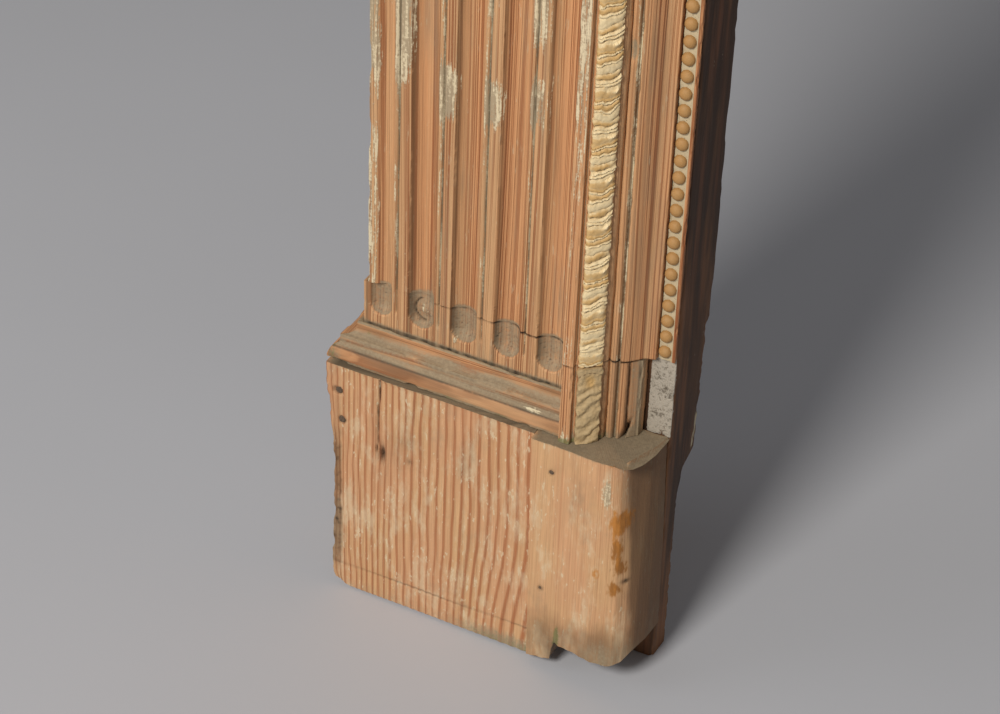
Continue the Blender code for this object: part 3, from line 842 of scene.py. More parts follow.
def columns(outer):
    """Places across a fluted board, from its inner to its outer edge, closer at each arris."""
    s = sizes()
    stops = {REBATE_U, outer}
    for number in range(FLUTES):
        middle = FLUTE_FIRST + number * s.flute_pitch
        edge = min(middle + s.flute_w / 2, outer - 0.003)
        stops.update((middle - s.flute_w / 2, edge))
        if number:
            line = middle - QUIRK_OUT
            stops.update((line - 0.0009, line, line + 0.0009))
    stops = sorted(stops)
    found = []
    for here, there in zip(stops, stops[1:]):
        found.extend(np.linspace(here, there, max(2, ceil((there - here) / 0.0009)), False))
    return found[1:]


def flute_depth(u, z, outer, outer_land):
    """How deep the flutes and the fine lines beside them are at each place."""
    s = sizes()
    bottom = BASE_Z + BASE_H + s.flute_land
    top = CAP_Z - s.flute_land
    depth = np.zeros(len(u))
    line_depth = np.zeros(len(u))
    for number in range(FLUTES):
        inner = FLUTE_FIRST + number * s.flute_pitch - s.flute_w / 2
        edge = min(inner + s.flute_w, outer - outer_land)
        half = (edge - inner) / 2
        deep = s.flute_depth * half * 2 / s.flute_w
        radius = (half * half + deep * deep) / (2 * deep)
        past = np.maximum(bottom + half - z, 0) + np.maximum(z - top + half, 0)
        off = (u - inner - half) ** 2 + past**2
        hollow = np.sqrt(np.maximum(radius**2 - off, 0)) - (radius - deep)
        depth = np.maximum(depth, hollow)
        if number:
            away = np.abs(u - (inner + s.flute_w / 2 - QUIRK_OUT))
            reach = between(z, bottom + 0.003, bottom + 0.008) * (1 - between(z, top - 0.008, top))
            line_depth = np.maximum(line_depth, np.clip(1 - away / 0.0011, 0, 1) * reach)
    return depth, line_depth


def joint_line(u):
    """How far the cracked joint of the left foot wanders up or down."""
    return 0.0009 * line_noise(u, 0.017, 4.2) + 0.0007 * line_noise(u, 0.0035, 8.1) + 0.0006


def fluted(name, side, outer, outer_land, z0, z1, marks):
    """One length of a pilaster's board."""
    front = [(u, FACE_P) for u in columns(outer)[::-1]]
    corners = [(REBATE_U, BOARD_BACK), (outer, BOARD_BACK), (outer, FACE_P), *front]
    outline = Outline(corners + [(REBATE_U, FACE_P)], ease=0.0006, step=0.008, reach=0.0016)
    board = standing(name, outline, side, z0, z1, marks)
    u, p, z = board.u, board.p, board.z
    depth, line = flute_depth(u, z, outer, outer_land)
    soft = depth * depth / (depth + 0.0004 + 1e-9)
    face = p > FACE_P - 0.0007
    board.p = np.where(face, p - soft - line * 0.0013, p)
    board.notes["hollow"] = np.where(face, line * 1.2, 0)
    board.notes["crack_and_shade"] = np.where(face, line * 0.75 * (0.5 + 0.5 * speckle(board.co, 0.03, 4.0)), 0)
    board.notes["land"] = face * (depth <= 0)
    rim = bump_at(depth, 0.0002, 0.0005) * (depth > 0)
    if side == LEFT:
        board.edge = np.maximum(board.edge, rim * 0.6 * face)
        board.into = np.where((rim * face > 0.05)[:, None], (0, 1, 0), board.into)
    board.notes["edge"] = np.maximum(board.edge, rim * face)
    # Painted shade on the outer walls of the flutes.
    board.notes["grime_and_shade"] = wall_shade_and_dirt(u) * face
    return board, u, z, face, line, depth


def wall_shade_and_dirt(u):
    """Painted shade along the outer wall of each flute, which faces away from the light, and a little dirt
    on the inner one.
    """
    s = sizes()
    found = np.zeros(len(u))
    for number in range(FLUTES):
        middle = FLUTE_FIRST + number * s.flute_pitch
        wall = middle + s.flute_w / 2
        found += 0.34 * between(u, wall - 0.0056, wall - 0.0018) * (u < wall + 0.0003)
        found += 0.60 * bump_at(u, wall - 0.0008, 0.0009)
        found += 0.30 * bump_at(u, middle - s.flute_w / 2 + 0.0006, 0.0010)
    return found


def joint_open(u):
    """How open the joint of the left foot stands: wide by the architrave, closed at the outside."""
    wide = through(u, JOINT_OPEN)
    return wide * np.clip(0.75 + 0.9 * line_noise(u, 0.0026, 3.3), 0.15, 1.2)


def upper_fillers(u, z, face, line):
    """Cream filler left along the lands of the upper board."""
    pitch = sizes().flute_pitch
    found = np.zeros(len(u))
    patches = (
        (3, 0.415, 0.055, 1.25), (2, 0.364, 0.019, 1.1), (1, 0.366, 0.017, 0.9), (0, 0.374, 0.019, 0.75),
        (0, 0.440, 0.030, 0.75), (2, 0.450, 0.030, 0.5), (1, 0.440, 0.020, 0.45),
    )
    for number, middle, tall, amount in patches:
        land = FLUTE_FIRST + (number + 0.50) * pitch
        found += amount * bump_at(u, land, 0.0066) * np.exp(-(((z - middle) / tall) ** 4))
    found += 0.55 * between(u, 0.1800, 0.1835) + 0.3 * between(u, 0.180, 0.183) * between(z, 0.355, 0.37)
    found += 0.62 * line * between(z, JOINT_Z, JOINT_Z + 0.02)
    for number in range(1, FLUTES):
        inner = FLUTE_FIRST + number * pitch - sizes().flute_w / 2
        found += 0.42 * bump_at(u, inner - 0.0012, 0.0012)
    return np.clip(found, 0, 1) * face


def low_side(z):
    """1 in the lower half of the flutes' round ends, 0 in the upper."""
    return 1 - between(z, 0.200, 0.209)


def over_the_block(marks):
    """Adds rings where a board that stands on the floor widens above the plinth block."""
    return np.unique(np.append(marks, (BASE_Z, BASE_Z + 0.0002)))


class MANTEL_OT_flutes(bpy.types.Operator):
    """Fluted boards of both pilasters, the left one with its pieced foot"""

    bl_idname = "mantel.flutes"
    bl_label = "Fluted boards"

    def execute(self, context):
        s = sizes()
        z0 = JOINT_Z + GAP
        ends = (CAP_Z - 0.022, CAP_Z, 0.0008)
        marks = stations(z0, BOARD_TOP, 0.012, (z0, z0 + 0.02, 0.0007), (z0, NEAR_TOP, 0.0028), ends)
        board, u, z, face, line, depth = fluted(
            "fluted_board_upper_left", LEFT, PILASTER_OUTER, OUTER_LAND, z0, BOARD_TOP, marks
        )
        gap = joint_open(u)
        board.z = z + (joint_line(u) - 0.0005 + 0.0006 * gap) * (1 - between(z, z0, z0 + 0.010))
        near = 1 - between(z, z0 + 0.0005, z0 + 0.0035 + 0.005 * bump_at(u, 0.1495, 0.006))
        board.notes["dust"] = near * between(depth, 0.0006, 0.0030) * 0.75
        board.notes["filler"] = upper_fillers(u, z, face, line)
        board.edge = board.edge * (0.3 + 0.7 * between(z, z0 + 0.0005, z0 + 0.004))
        board.notes["crack_and_shade"] = np.maximum(board.notes["crack_and_shade"], (1 - between(z, z0, z0 + 0.0007)) * gap)
        board.wear(s.chip * 0.8, 2.0, 0.02)
        board.sway().finish(pine_up(), "stripped_pine", "fluted_board_left")

        marks = stations(0, FOOT_TOP, 0.02, (0.16, BASE_Z + 0.001, 0.004), (0.19, FOOT_TOP, 0.0006))
        marks = over_the_block(marks)
        foot, u, z, face, line, depth = fluted(
            "fluted_board_foot_left", LEFT, FOOT_OUTER, FOOT_LAND, 0, FOOT_TOP, marks
        )
        foot.u = np.where(z <= BASE_Z, np.maximum(u, BLOCK_W + GAP), u)
        p = foot.p + depth
        gap = joint_open(u)
        foot.z = z + (joint_line(u) + 0.0001) * between(z, 0.212, FOOT_TOP)
        dust = 0.66 + 0.14 * speckle(foot.co, 0.006, 7.0) + 0.14 * low_side(z)
        dust = between(depth, 0.0003, 0.0013) * dust
        ledge_z = BASE_Z + BASE_H
        low_line = 1 - between(z, ledge_z, ledge_z + 0.005)
        foot.notes["dust"] = np.maximum(dust, low_line * 0.75 * (p > FACE_P - 0.001))
        pits = np.clip(speckle(foot.co, 0.0012, 5.0) - 0.30 + 0.12 * low_side(z), 0, 1)
        pits *= between(depth, 0.001, 0.003)
        lump = bump_at(u, 0.1515, 0.0045) * bump_at(z, 0.2125, 0.0045)
        curl = np.abs(np.hypot((u - 0.1525) / 0.0062, (z - 0.2125) / 0.0075) - 1)
        curl = np.clip(1 - curl / 0.13, 0, 1) * (u > 0.1520) * (z < 0.2190) * between(depth, 0.001, 0.002)
        chip = bump_at(u, 0.1302, 0.0013) * bump_at(z, 0.2016, 0.0022)
        foot.p = foot.p - pits * 0.0008 + lump * 0.0020 - curl * 0.0010 + chip * 0.0008
        rim = between(z, FOOT_TOP - 0.0007, FOOT_TOP) * gap
        seam = (1 - between(z, ledge_z + 0.0004, ledge_z + 0.0016)) * (0.6 + 0.8 * line_noise(u, 0.004, 2.0))
        seam = seam * (z > BASE_Z + 0.004) * (p > FACE_P - 0.001)
        foot.notes["crack_and_shade"] = np.maximum.reduce((pits * 1.3, curl * 0.8, rim, seam))
        foot.notes["filler"] = np.maximum.reduce((0.55 * line * face, 0.42 * lump, chip))
        # Painted shade on the outer walls of the flutes, darker still on the outer walls of their round
        # ends; the round ends are also darker deeper in.
        foot.notes["grime_and_shade"] = wall_shade_and_dirt(u) * face + between(depth, 0.0004, 0.0015) * 0.3
        foot.notes["crack_and_shade"] += 0.45 * wall_shade_and_dirt(u) * between(depth, 0.0008, 0.0020)
        foot.edge = foot.edge * (1 - 0.7 * between(z, 0.214, 0.219))
        foot.wear(s.chip * 0.7, 5.0, 0.012)
        foot.sway().finish(pine_up(), "stripped_pine", "fluted_foot_left")

        start = (ledge_z, ledge_z + 0.02, 0.0008)
        marks = stations(0, BOARD_TOP, 0.014, (0.16, BASE_Z + 0.001, 0.004), start, ends)
        marks = over_the_block(marks)
        right, u, z, face, line, depth = fluted(
            "fluted_board_whole_right", RIGHT, PILASTER_OUTER, OUTER_LAND, 0, BOARD_TOP, marks
        )
        right.u = np.where(z <= BASE_Z, np.maximum(u, BLOCK_W + GAP), u)
        right.notes["dust"] = between(depth, 0.001, 0.004) * (1 - between(z, 0.20, 0.215)) * 0.5
        right.notes["filler"] = 0.5 * line * face
        right.wear(s.plain_chip, 8.0, 0.03)
        right.finish(pine_up(), "stripped_pine", "fluted_board_right")
        return {"FINISHED"}


def architrave_corners(inner):
    """Outline of the architrave as (u, p), from its outer back corner round to the back."""
    bed_out, bed_in = RIBBON_BED
    fillet_in = ARCH_W - FILLET_W
    ogee = []
    for share in np.linspace(0, 1, 13):
        bend = sin(2 * pi * share) * OGEE_BEND
        u = OGEE_TOP[0] + (OGEE_END[0] - OGEE_TOP[0]) * share
        ogee.append((u, OGEE_TOP[1] + (OGEE_END[1] - OGEE_TOP[1]) * share + bend))
    front = [(ARCH_W, ARCH_P), (fillet_in, ARCH_P), (fillet_in, bed_out[1]), bed_out, bed_in]
    front += [COVE_END, *arc(ASTRAGAL, ASTRAGAL_R, 5, 175), *GROOVE, *ogee, (ARCH_INNER, OGEE_END[1])]
    front = [point for point in front if point[0] >= inner]
    if inner > ARCH_INNER:
        front.append((inner, front[-1][1]))
    back = [(inner, ARCH_BACK), (REBATE_U - GAP, ARCH_BACK), (REBATE_U - GAP, FACE_BACK)]
    return [(ARCH_W, FACE_BACK), *front, *back]


def mitre_z(u):
    return OPENING_H + u - GAP / 2


def mitre_x(v):
    return HALF + v - GAP / 2


def up_the_jamb(name, outline, side, z0, marks):
    """A length up the jamb to its mitre with the head."""
    top = mitre_z(0)
    return Length(
        name, outline,
        lambda q: jamb(side, q[:, 0], q[:, 1], z0),
        lambda q: jamb(side, q[:, 0], q[:, 1], mitre_z(q[:, 0])),
        (marks - z0) / (top - z0), side,
    )


def over_the_opening(name, outline, marks):
    """A length over the opening, mitred at both ends."""
    reach = mitre_x(0)
    return Length(
        name, outline,
        lambda q: head(-mitre_x(q[:, 0]), q[:, 0], q[:, 1]),
        lambda q: head(mitre_x(q[:, 0]), q[:, 0], q[:, 1]),
        (marks + reach) / (2 * reach),
    )


def joint_shown(u):
    """How dark the architrave's joint is: broken up by dust but for the part by the groove."""
    return np.clip(0.45 + 0.6 * line_noise(u, 0.0021, 5.3) + 0.9 * bump_at(u, 0.0285, 0.0040), 0.1, 1)


def groove_shade_and_dirt(u, p):
    """Painted shade in the architrave's groove beside the astragal and in its cove, and dirt in streaks down
    the ogee.
    """
    found = 1.2 * bump_at(u, 0.0281, 0.0011) + 0.3 * bump_at(u, 0.0345, 0.0012)
    found += 0.55 * bump_at(u, 0.0226, 0.0007) + 0.35 * bump_at(u, 0.0176, 0.0008)
    return found * (p > ARCH_BACK + 0.003)


class MANTEL_OT_architrave(bpy.types.Operator):
    """Moulded architrave up both jambs and over the opening"""

    bl_idname = "mantel.architrave"
    bl_label = "Architrave"

    def execute(self, context):
        s = sizes()
        top = mitre_z(0)
        outline = Outline(architrave_corners(ARCH_INNER), 0.0005, 0.0014, 0.0013, 0.0018)
        z0 = JOINT_Z + GAP
        marks = stations(z0, top, 0.012, (z0, NEAR_TOP, 0.0028), (z0, z0 + 0.008, 0.0009))
        left = up_the_jamb("architrave_upper_left", outline, LEFT, z0, marks)
        u, z = left.u, left.z
        left.z = z + (0.6 * joint_line(u * 1.7)) * (1 - between(z, z0, z0 + 0.01))
        fillet = between(u, ARCH_W - FILLET_W - 0.0002, ARCH_W - FILLET_W + 0.0008)
        cream = fillet * (0.30 + 0.34 * between(z, 0.34, 0.40))
        left.notes["filler"] = cream + 0.55 * bump_at(u, GROOVE[0][0], 0.0012)
        chip = np.exp(-(((z - 0.423) / 0.007) ** 4)) * bump_at(u, ASTRAGAL[0], 0.002)
        left.p = left.p - chip * 0.0016
        left.notes["dust"] = chip * 0.9
        left.notes["grime_and_shade"] = groove_shade_and_dirt(u, left.p)
        left.notes["crack_and_shade"] = (1 - between(z, z0, z0 + 0.0006)) * joint_shown(u)
        left.edge = left.edge * (0.25 + 0.75 * between(z, z0 + 0.0005, z0 + 0.004))
        left.wear(s.chip * 0.6, 12.0, 0.012)
        left.sway().finish(pine_up(), "stripped_pine", "architrave_left")

        foot_outline = Outline(architrave_corners(FOOT_INNER), 0.0005, 0.0011, 0.0013, 0.0018)
        marks = stations(BASE_Z, FOOT_TOP, 0.0010)
        foot = standing("architrave_foot_piece", foot_outline, LEFT, BASE_Z, FOOT_TOP, marks)
        u, p, z = foot.u, foot.p, foot.z
        front = p > ARCH_BACK + 0.004
        opened = 0.0003 - 0.0007 * (1 - between(u, 0.0285, 0.0300))
        foot.z = z + (0.6 * joint_line(u * 1.7) + opened) * between(z, 0.21, FOOT_TOP)
        foot.edge = foot.edge * (1 - 0.75 * between(z, FOOT_TOP - 0.004, FOOT_TOP - 0.001))
        split = bump_at(u, 0.0226 + 0.0004 * line_noise(z, 0.006, 3.0), 0.0005) * front
        split *= between(z, 0.172, 0.176)
        notch = bump_at(u, 0.0238 - 0.25 * (z - 0.168), 0.0009) * (1 - between(z, 0.172, 0.184)) * front
        foot.p = p - split * 0.0016 - notch * 0.006
        inner = (1 - between(u, 0.0205, 0.0230)) * front
        foot.notes["grime_and_shade"] = groove_shade_and_dirt(u, p) + 0.22
        opening = between(z, FOOT_TOP - 0.0005, FOOT_TOP) * joint_shown(u)
        foot.notes["crack_and_shade"] = np.clip(split + notch + opening, 0, 1)
        foot.notes["dust"] = np.clip(inner * 0.55 + (1 - between(z, 0.169, 0.178)) * 0.6, 0, 1)
        damp = (1 - between(z, 0.1695, 0.1745)) * between(u, 0.022, 0.040)
        foot.notes["moss"] = damp * 0.75 + 0.3 * bump_at(z, 0.184, 0.008) * bump_at(u, 0.031, 0.003)
        foot.notes["filler"] = 0.5 * (1 - between(z, 0.172, 0.182)) * between(u, 0.0465, 0.048)
        foot.wear(s.chip * 0.9, 15.0, 0.009)
        foot.sway().finish(pine_up(), "stripped_pine", "architrave_foot_left")

        marks = stations(BASE_Z, top, 0.012)
        right = up_the_jamb("architrave_whole_right", outline, RIGHT, BASE_Z, marks)
        right.notes["filler"] = 0.4 * bump_at(right.u, GROOVE[0][0], 0.0012)
        right.notes["grime_and_shade"] = 0.6 * groove_shade_and_dirt(right.u, right.p)
        right.wear(s.plain_chip, 18.0).finish(pine_up(), "stripped_pine", "architrave_right")
        marks = stations(-mitre_x(0), mitre_x(0), 0.012)
        over = over_the_opening("architrave_over_opening", outline, marks)
        over.wear(s.plain_chip, 21.0).finish(pine_across(), "stripped_pine", "architrave_head")
        return {"FINISHED"}


def base_corners():
    """Section of the base moulding as (out, up)."""
    fillet_z = BASE_H - BASE_FILLET_H
    hollow = (BASE_FILLET + BASE_CAVETTO, fillet_z)
    arris = hollow[0] + BASE_STEP
    arris_z = fillet_z - BASE_CAVETTO
    torus_top = arris_z - BASE_ARRIS_H - BASE_QUIRK
    torus = [
        (arris + BASE_QUIRK + BASE_TORUS * sin(share * pi / 2), torus_top * (1 - share))
        for share in np.linspace(0, 1, 8)
    ]
    front = [(BASE_FILLET, BASE_H), *arc(hollow, BASE_CAVETTO, 180, 270)]
    front += [(arris, arris_z), (arris, arris_z - BASE_ARRIS_H)]
    return [(0, 0), (0, BASE_H), *front, *torus]


def moulding(name, side, outline, outer, z0, step, spread=1.0):
    """A moulding on a pilaster's face, from the architrave to its mitre, spread out there."""
    inner = ARCH_W + GAP
    marks = stations(inner, outer, step)
    return Length(
        name, outline,
        lambda q: jamb(side, inner, FACE_BACK + q[:, 0], z0 + q[:, 1]),
        lambda q: jamb(side, outer + spread * q[:, 0], FACE_BACK + q[:, 0], z0 + q[:, 1]),
        (marks - inner) / (outer - inner), side,
    )


def moulding_return(name, side, outline, outer, z0, step, spread=1.0):
    """The same moulding carried back along the jamb's outer side."""
    foot = outer + GAP
    marks = stations(0, FACE_P, step)
    return Length(
        name, outline,
        lambda q: jamb(side, foot + spread * q[:, 0], 0, z0 + q[:, 1]),
        lambda q: jamb(side, foot + spread * q[:, 0], FACE_P + q[:, 0] - GAP, z0 + q[:, 1]),
        marks / FACE_P, side,
    )


class MANTEL_OT_mouldings(bpy.types.Operator):
    """Base and cap mouldings with their returns"""

    bl_idname = "mantel.mouldings"
    bl_label = "Base and cap mouldings"

    def execute(self, context):
        s = sizes()
        fine = Outline(base_corners(), 0.0006, 0.0010, 0.0018, 0.0026)
        plain = Outline(base_corners(), 0.0005, 0.0018, 0.0014, 0.0024)
        cap = Outline([(out, BASE_H - up) for out, up in base_corners()], 0.0005, 0.0018, 0.0014)
        spread = 1.5
        worn = moulding("base_front_left", LEFT, fine, FOOT_OUTER, BASE_Z, 0.0012, spread)
        up = worn.z - BASE_Z
        ledge = bump_at(up, BASE_H, 0.0014)
        cavetto = bump_at(up, 0.0165, 0.0038)
        quirk = bump_at(up, 0.0098, 0.0016)
        low = 1 - between(up, 0.0012, 0.0030)
        dirt = np.maximum.reduce((ledge * 1.2, cavetto * 0.9, quirk * 0.95, low * 0.85,
                                  between(worn.u, 0.190, 0.204) * 0.6))
        worn.notes["dust"] = dirt * (0.85 + 0.5 * speckle(worn.co * (0.35, 1, 1), 0.006, 8.0))
        worn.notes["grime_and_shade"] = 0.55 + 0.35 * speckle(worn.co * (1, 3, 3), 0.02, 4.0)
        worn.notes["filler"] = 0.8 * bump_at(worn.u, 0.0735, 0.006) * bump_at(up, 0.010, 0.0016)
        corner = between(worn.u, 0.199, 0.206)
        spot = 0.6 * bump_at(worn.u, 0.186, 0.0020) * bump_at(up, 0.020, 0.002)
        patchy = np.clip(speckle(worn.co, 0.016, 5.0) * 1.8, 0, 1)
        worn.notes["moss"] = np.maximum.reduce((spot, ledge * 0.35, corner * 0.5, low * patchy * 0.75))
        worn.edge = np.maximum(worn.edge, 0.6 * corner)
        worn.notes["crack_and_shade"] = bump_at(up, 0.0088, 0.0006) * 0.7
        worn.wear(s.chip, 31.0, 0.012)
        worn.sway().finish(pine_across(), "stripped_pine", "base_moulding_left")
        back = moulding_return("base_return_piece_left", LEFT, fine, FOOT_OUTER, BASE_Z, 0.0024, spread)
        back.notes["dust"] = bump_at(back.z - BASE_Z, BASE_H, 0.0016) * 0.8
        back.wear(s.chip, 31.0, 0.012)
        back.sway().finish(pine_back(), "stripped_pine", "base_return_left")
        jobs = [("base", "right", RIGHT, plain, BASE_Z)]
        jobs += [("cap", name, side, cap, CAP_Z) for name, side in SIDES]
        for kind, name, side, outline, z0 in jobs:
            front = moulding(f"{kind}_front_{name}", side, outline, PILASTER_OUTER, z0, 0.005)
            front.wear(s.plain_chip, 35.0 + side)
            front.finish(pine_across(), "stripped_pine", f"{kind}_moulding_{name}")
            back = moulding_return(f"{kind}_side_{name}", side, outline, PILASTER_OUTER, z0, 0.006)
            back.wear(s.plain_chip, 39.0 + side)
            back.finish(pine_back(), "stripped_pine", f"{kind}_return_{name}")
        return {"FINISHED"}


def plinth_front(name, side, lean, rise, step):
    """Front board of a plinth. Its foot leans in at the block and stands a little off the floor."""
    inner = BLOCK_W + GAP
    points = [(u, PLINTH_P) for u in np.arange(PLINTH_OUTER - step, inner, -step)]
    corners = [(inner, FACE_BACK), (PLINTH_OUTER, FACE_BACK), (PLINTH_OUTER, PLINTH_P), *points]
    outline = Outline([*corners, (inner, PLINTH_P)], 0.0008, 0.008, 0.0022)

    def foot(q):
        out = (q[:, 0] - inner) / (PLINTH_OUTER - inner)
        return jamb(side, q[:, 0] - lean * (1 - out), q[:, 1], rise + 0.0004)

    shares = stations(0, PLINTH_H, step) / PLINTH_H
    return Length(name, outline, foot, level(side, PLINTH_H), shares, side)


def leaning(z):
    """How far the left plinth leans in at each height."""
    return sizes().plinth_lean * (1 - z / PLINTH_H)


def worn_edge(z):
    """Where the outer edge of the left plinth lies: flared at its top, hollow lower down."""
    return through(z, WORN_EDGE)


def nail_radius(name):
    """Half the width of the nail head of that name."""
    return (sizes().nail_d if name.startswith("plinth") else sizes().small_nail_d) / 2


def nail_dents(piece, *names):
    """How far the wood lies under its face round each nail head, 0 to 1."""
    found = np.zeros(len(piece.co))
    for name in names:
        lowest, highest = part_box(name)
        middle = (lowest + highest) / 2
        away = np.hypot(piece.co[:, 0] - middle.x, piece.co[:, 2] - middle.z)
        edge = nail_radius(name)
        found = np.maximum(found, 1 - between(away, edge + 0.0001, edge + 0.0010))
    return found


def ring_ridges(u, z):
    """Ridges of the plinth's grain, 0 to 1: wide by the block, closer outwards, wandering upwards."""
    points = np.column_stack((u / 0.034, z / 0.12, np.zeros(len(u))))
    wander = 0.0036 * speckle(points, 1.0, 6.0)
    points = np.column_stack((u / 0.011, z / 0.022, np.zeros(len(u))))
    wander += 0.0007 * speckle(points, 1.0, 16.0)
    wander -= 0.0070 * (1 - between(z, 0, 0.085)) * (1 - between(u, 0.085, 0.135))
    near, change = sizes().ring_pitch, -0.026
    place = np.clip(u + wander - BLOCK_W, -0.02, 0.16)
    phase = np.log(1 + change * place / near) / change
    wave = 0.5 + 0.5 * np.sin(2 * pi * phase)
    return wave**1.8


class MANTEL_OT_plinths(bpy.types.Operator):
    """Front and side boards of the plinths"""

    bl_idname = "mantel.plinths"
    bl_label = "Plinth boards"

    def execute(self, context):
        s = sizes()
        board = plinth_front("plinth_front_left", LEFT, s.plinth_lean, 0.0014, 0.0011)
        u, p, z = board.u, board.p, board.z
        face = p > PLINTH_P - 0.0010
        ring = ring_ridges(u, z)
        split_u = SPLIT_U - 0.0016 * between(z, 0.130, 0.168) + 0.0006 * line_noise(z, 0.008, 2.0)
        split = bump_at(u, split_u, 0.00055) * between(z, 0.100, 0.118)
        hole = bump_at(u, 0.1690, 0.0018) * bump_at(z, 0.113, 0.0060)
        dent = bump_at(u, 0.1500, 0.0016) * bump_at(z, 0.114, 0.0022)
        scribe = bump_at(z, 0.0195 - 0.012 * (u - 0.12), 0.00050) * between(u, 0.04, 0.06)
        board.p = p - face * (0.00045 * (1 - ring) + 0.0018 * split + 0.003 * hole)
        dents = nail_dents(board, "plinth_nail_1", "plinth_nail_2")
        board.p = board.p - face * (0.0008 * dent + 0.0004 * scribe + 0.0007 * dents)
        out = between(u, 0.192, PLINTH_OUTER)
        edge = worn_edge(z) + 0.0005 * line_noise(z, 0.006, 9.0)
        board.u = board.u - out * (PLINTH_OUTER - edge)
        worn = between(u, 0.190, 0.203) * (1 - between(z, 0.004, 0.016))
        board.z = np.maximum(board.z + worn * 0.0035, 0.0004)
        bark = between(u, 0.1955, 0.2000) * np.clip(0.62 + 0.7 * line_noise(z, 0.016, 4.0), 0, 1)
        bark *= between(z, 0.01, 0.03) * (1 - between(z, 0.100, 0.125))
        board.notes["ring"] = ring * face
        marked = split * 0.9 + hole + dent * 0.5 + scribe * 0.5 + 0.5 * dents
        marked += bark * np.clip(speckle(board.co, 0.0022, 6.0) * 1.6 - 0.1, 0, 1)
        board.notes["crack_and_shade"] = np.clip(marked, 0, 1) * face
        board.notes["grime_and_shade"] = 0.30 * between(u, 0.190, 0.200) + 0.75 * bark
        board.notes["filler"] = 0.6 * bump_at(u, split_u + 0.001, 0.0012) * between(z, 0.138, 0.148) * face
        low_dirt = (1 - between(z, 0.003, 0.020)) * (1 - 0.45 * between(u, 0.09, 0.13))
        board.notes["dust"] = low_dirt * 0.75
        from_seam = u + leaning(z) - BLOCK_W
        board.notes["dust"] = np.maximum(board.notes["dust"], 0.5 * (1 - between(from_seam, 0, 0.0022)))
        board.notes["moss"] = 0.45 * low_dirt + 0.3 * between(z, 0.1665, 0.168)
        board.notes["chalk"] = 0.6 * (1 - ring) * face
        level_top(board, 0.95, 0.50)
        board.wear(s.chip * 0.9, 41.0, 0.014)
        look = plinth_pine("plinth_pine_front", (0.0, 0.6))
        board.sway().finish(look, "plinth_pine", "plinth_board_left")

        right = plinth_front("plinth_front_right", RIGHT, 0, 0, 0.0022)
        u, p, z = right.u, right.p, right.z
        face = p > PLINTH_P - 0.0010
        ring = ring_ridges(u + 0.05, z)
        right.p = p - face * 0.0003 * (1 - ring)
        right.notes["ring"] = ring * face
        right.notes["dust"] = (1 - between(z, 0.002, 0.012)) * 0.5
        right.wear(s.plain_chip, 45.0, 0.02)
        right.finish(look, "plinth_pine", "plinth_board_right")

        for name, side, inner in (("left", LEFT, FOOT_OUTER), ("right", RIGHT, PILASTER_OUTER)):
            corners = rectangle(inner + GAP, PLINTH_OUTER - SIDE_BACK, 0, FACE_P)
            board = upright(f"plinth_side_{name}", corners, side, 0, PLINTH_H, 0.006)
            if side == LEFT:
                outside = between(board.u, inner + 0.004, inner + 0.008)
                board.u = board.u + outside * (worn_edge(board.z) - 0.002 - PLINTH_OUTER + SIDE_BACK)
            board.wear(s.chip if side == LEFT else s.plain_chip, 48.0 + side, 0.02)
            board.notes["dust"] = (1 - between(board.z, 0.002, 0.016)) * 0.6
            look = plinth_pine("plinth_pine_side", (0.5, 0.3))
            board.finish(look, "plinth_pine", f"plinth_return_{name}")
        return {"FINISHED"}


def upright(name, corners, side, z0, z1, step, grain=0.005):
    """A plain board or block standing up."""
    return standing(name, Outline(corners, 0.0007, grain), side, z0, z1, stations(z0, z1, step))


BLOCK_PLAN = (
    (0.0690, 0.0862), (0.0450, 0.0860), (0.0330, 0.0872), (0.0230, 0.0872), (0.0190, 0.0864),
    (0.0145, 0.0842), (0.0120, 0.0815), (0.0104, 0.0765), (0.0086, 0.0715), (0.0068, 0.0660),
    (0.0036, 0.0580), (0.0020, 0.0500), (0.0014, ARCH_BACK),
)


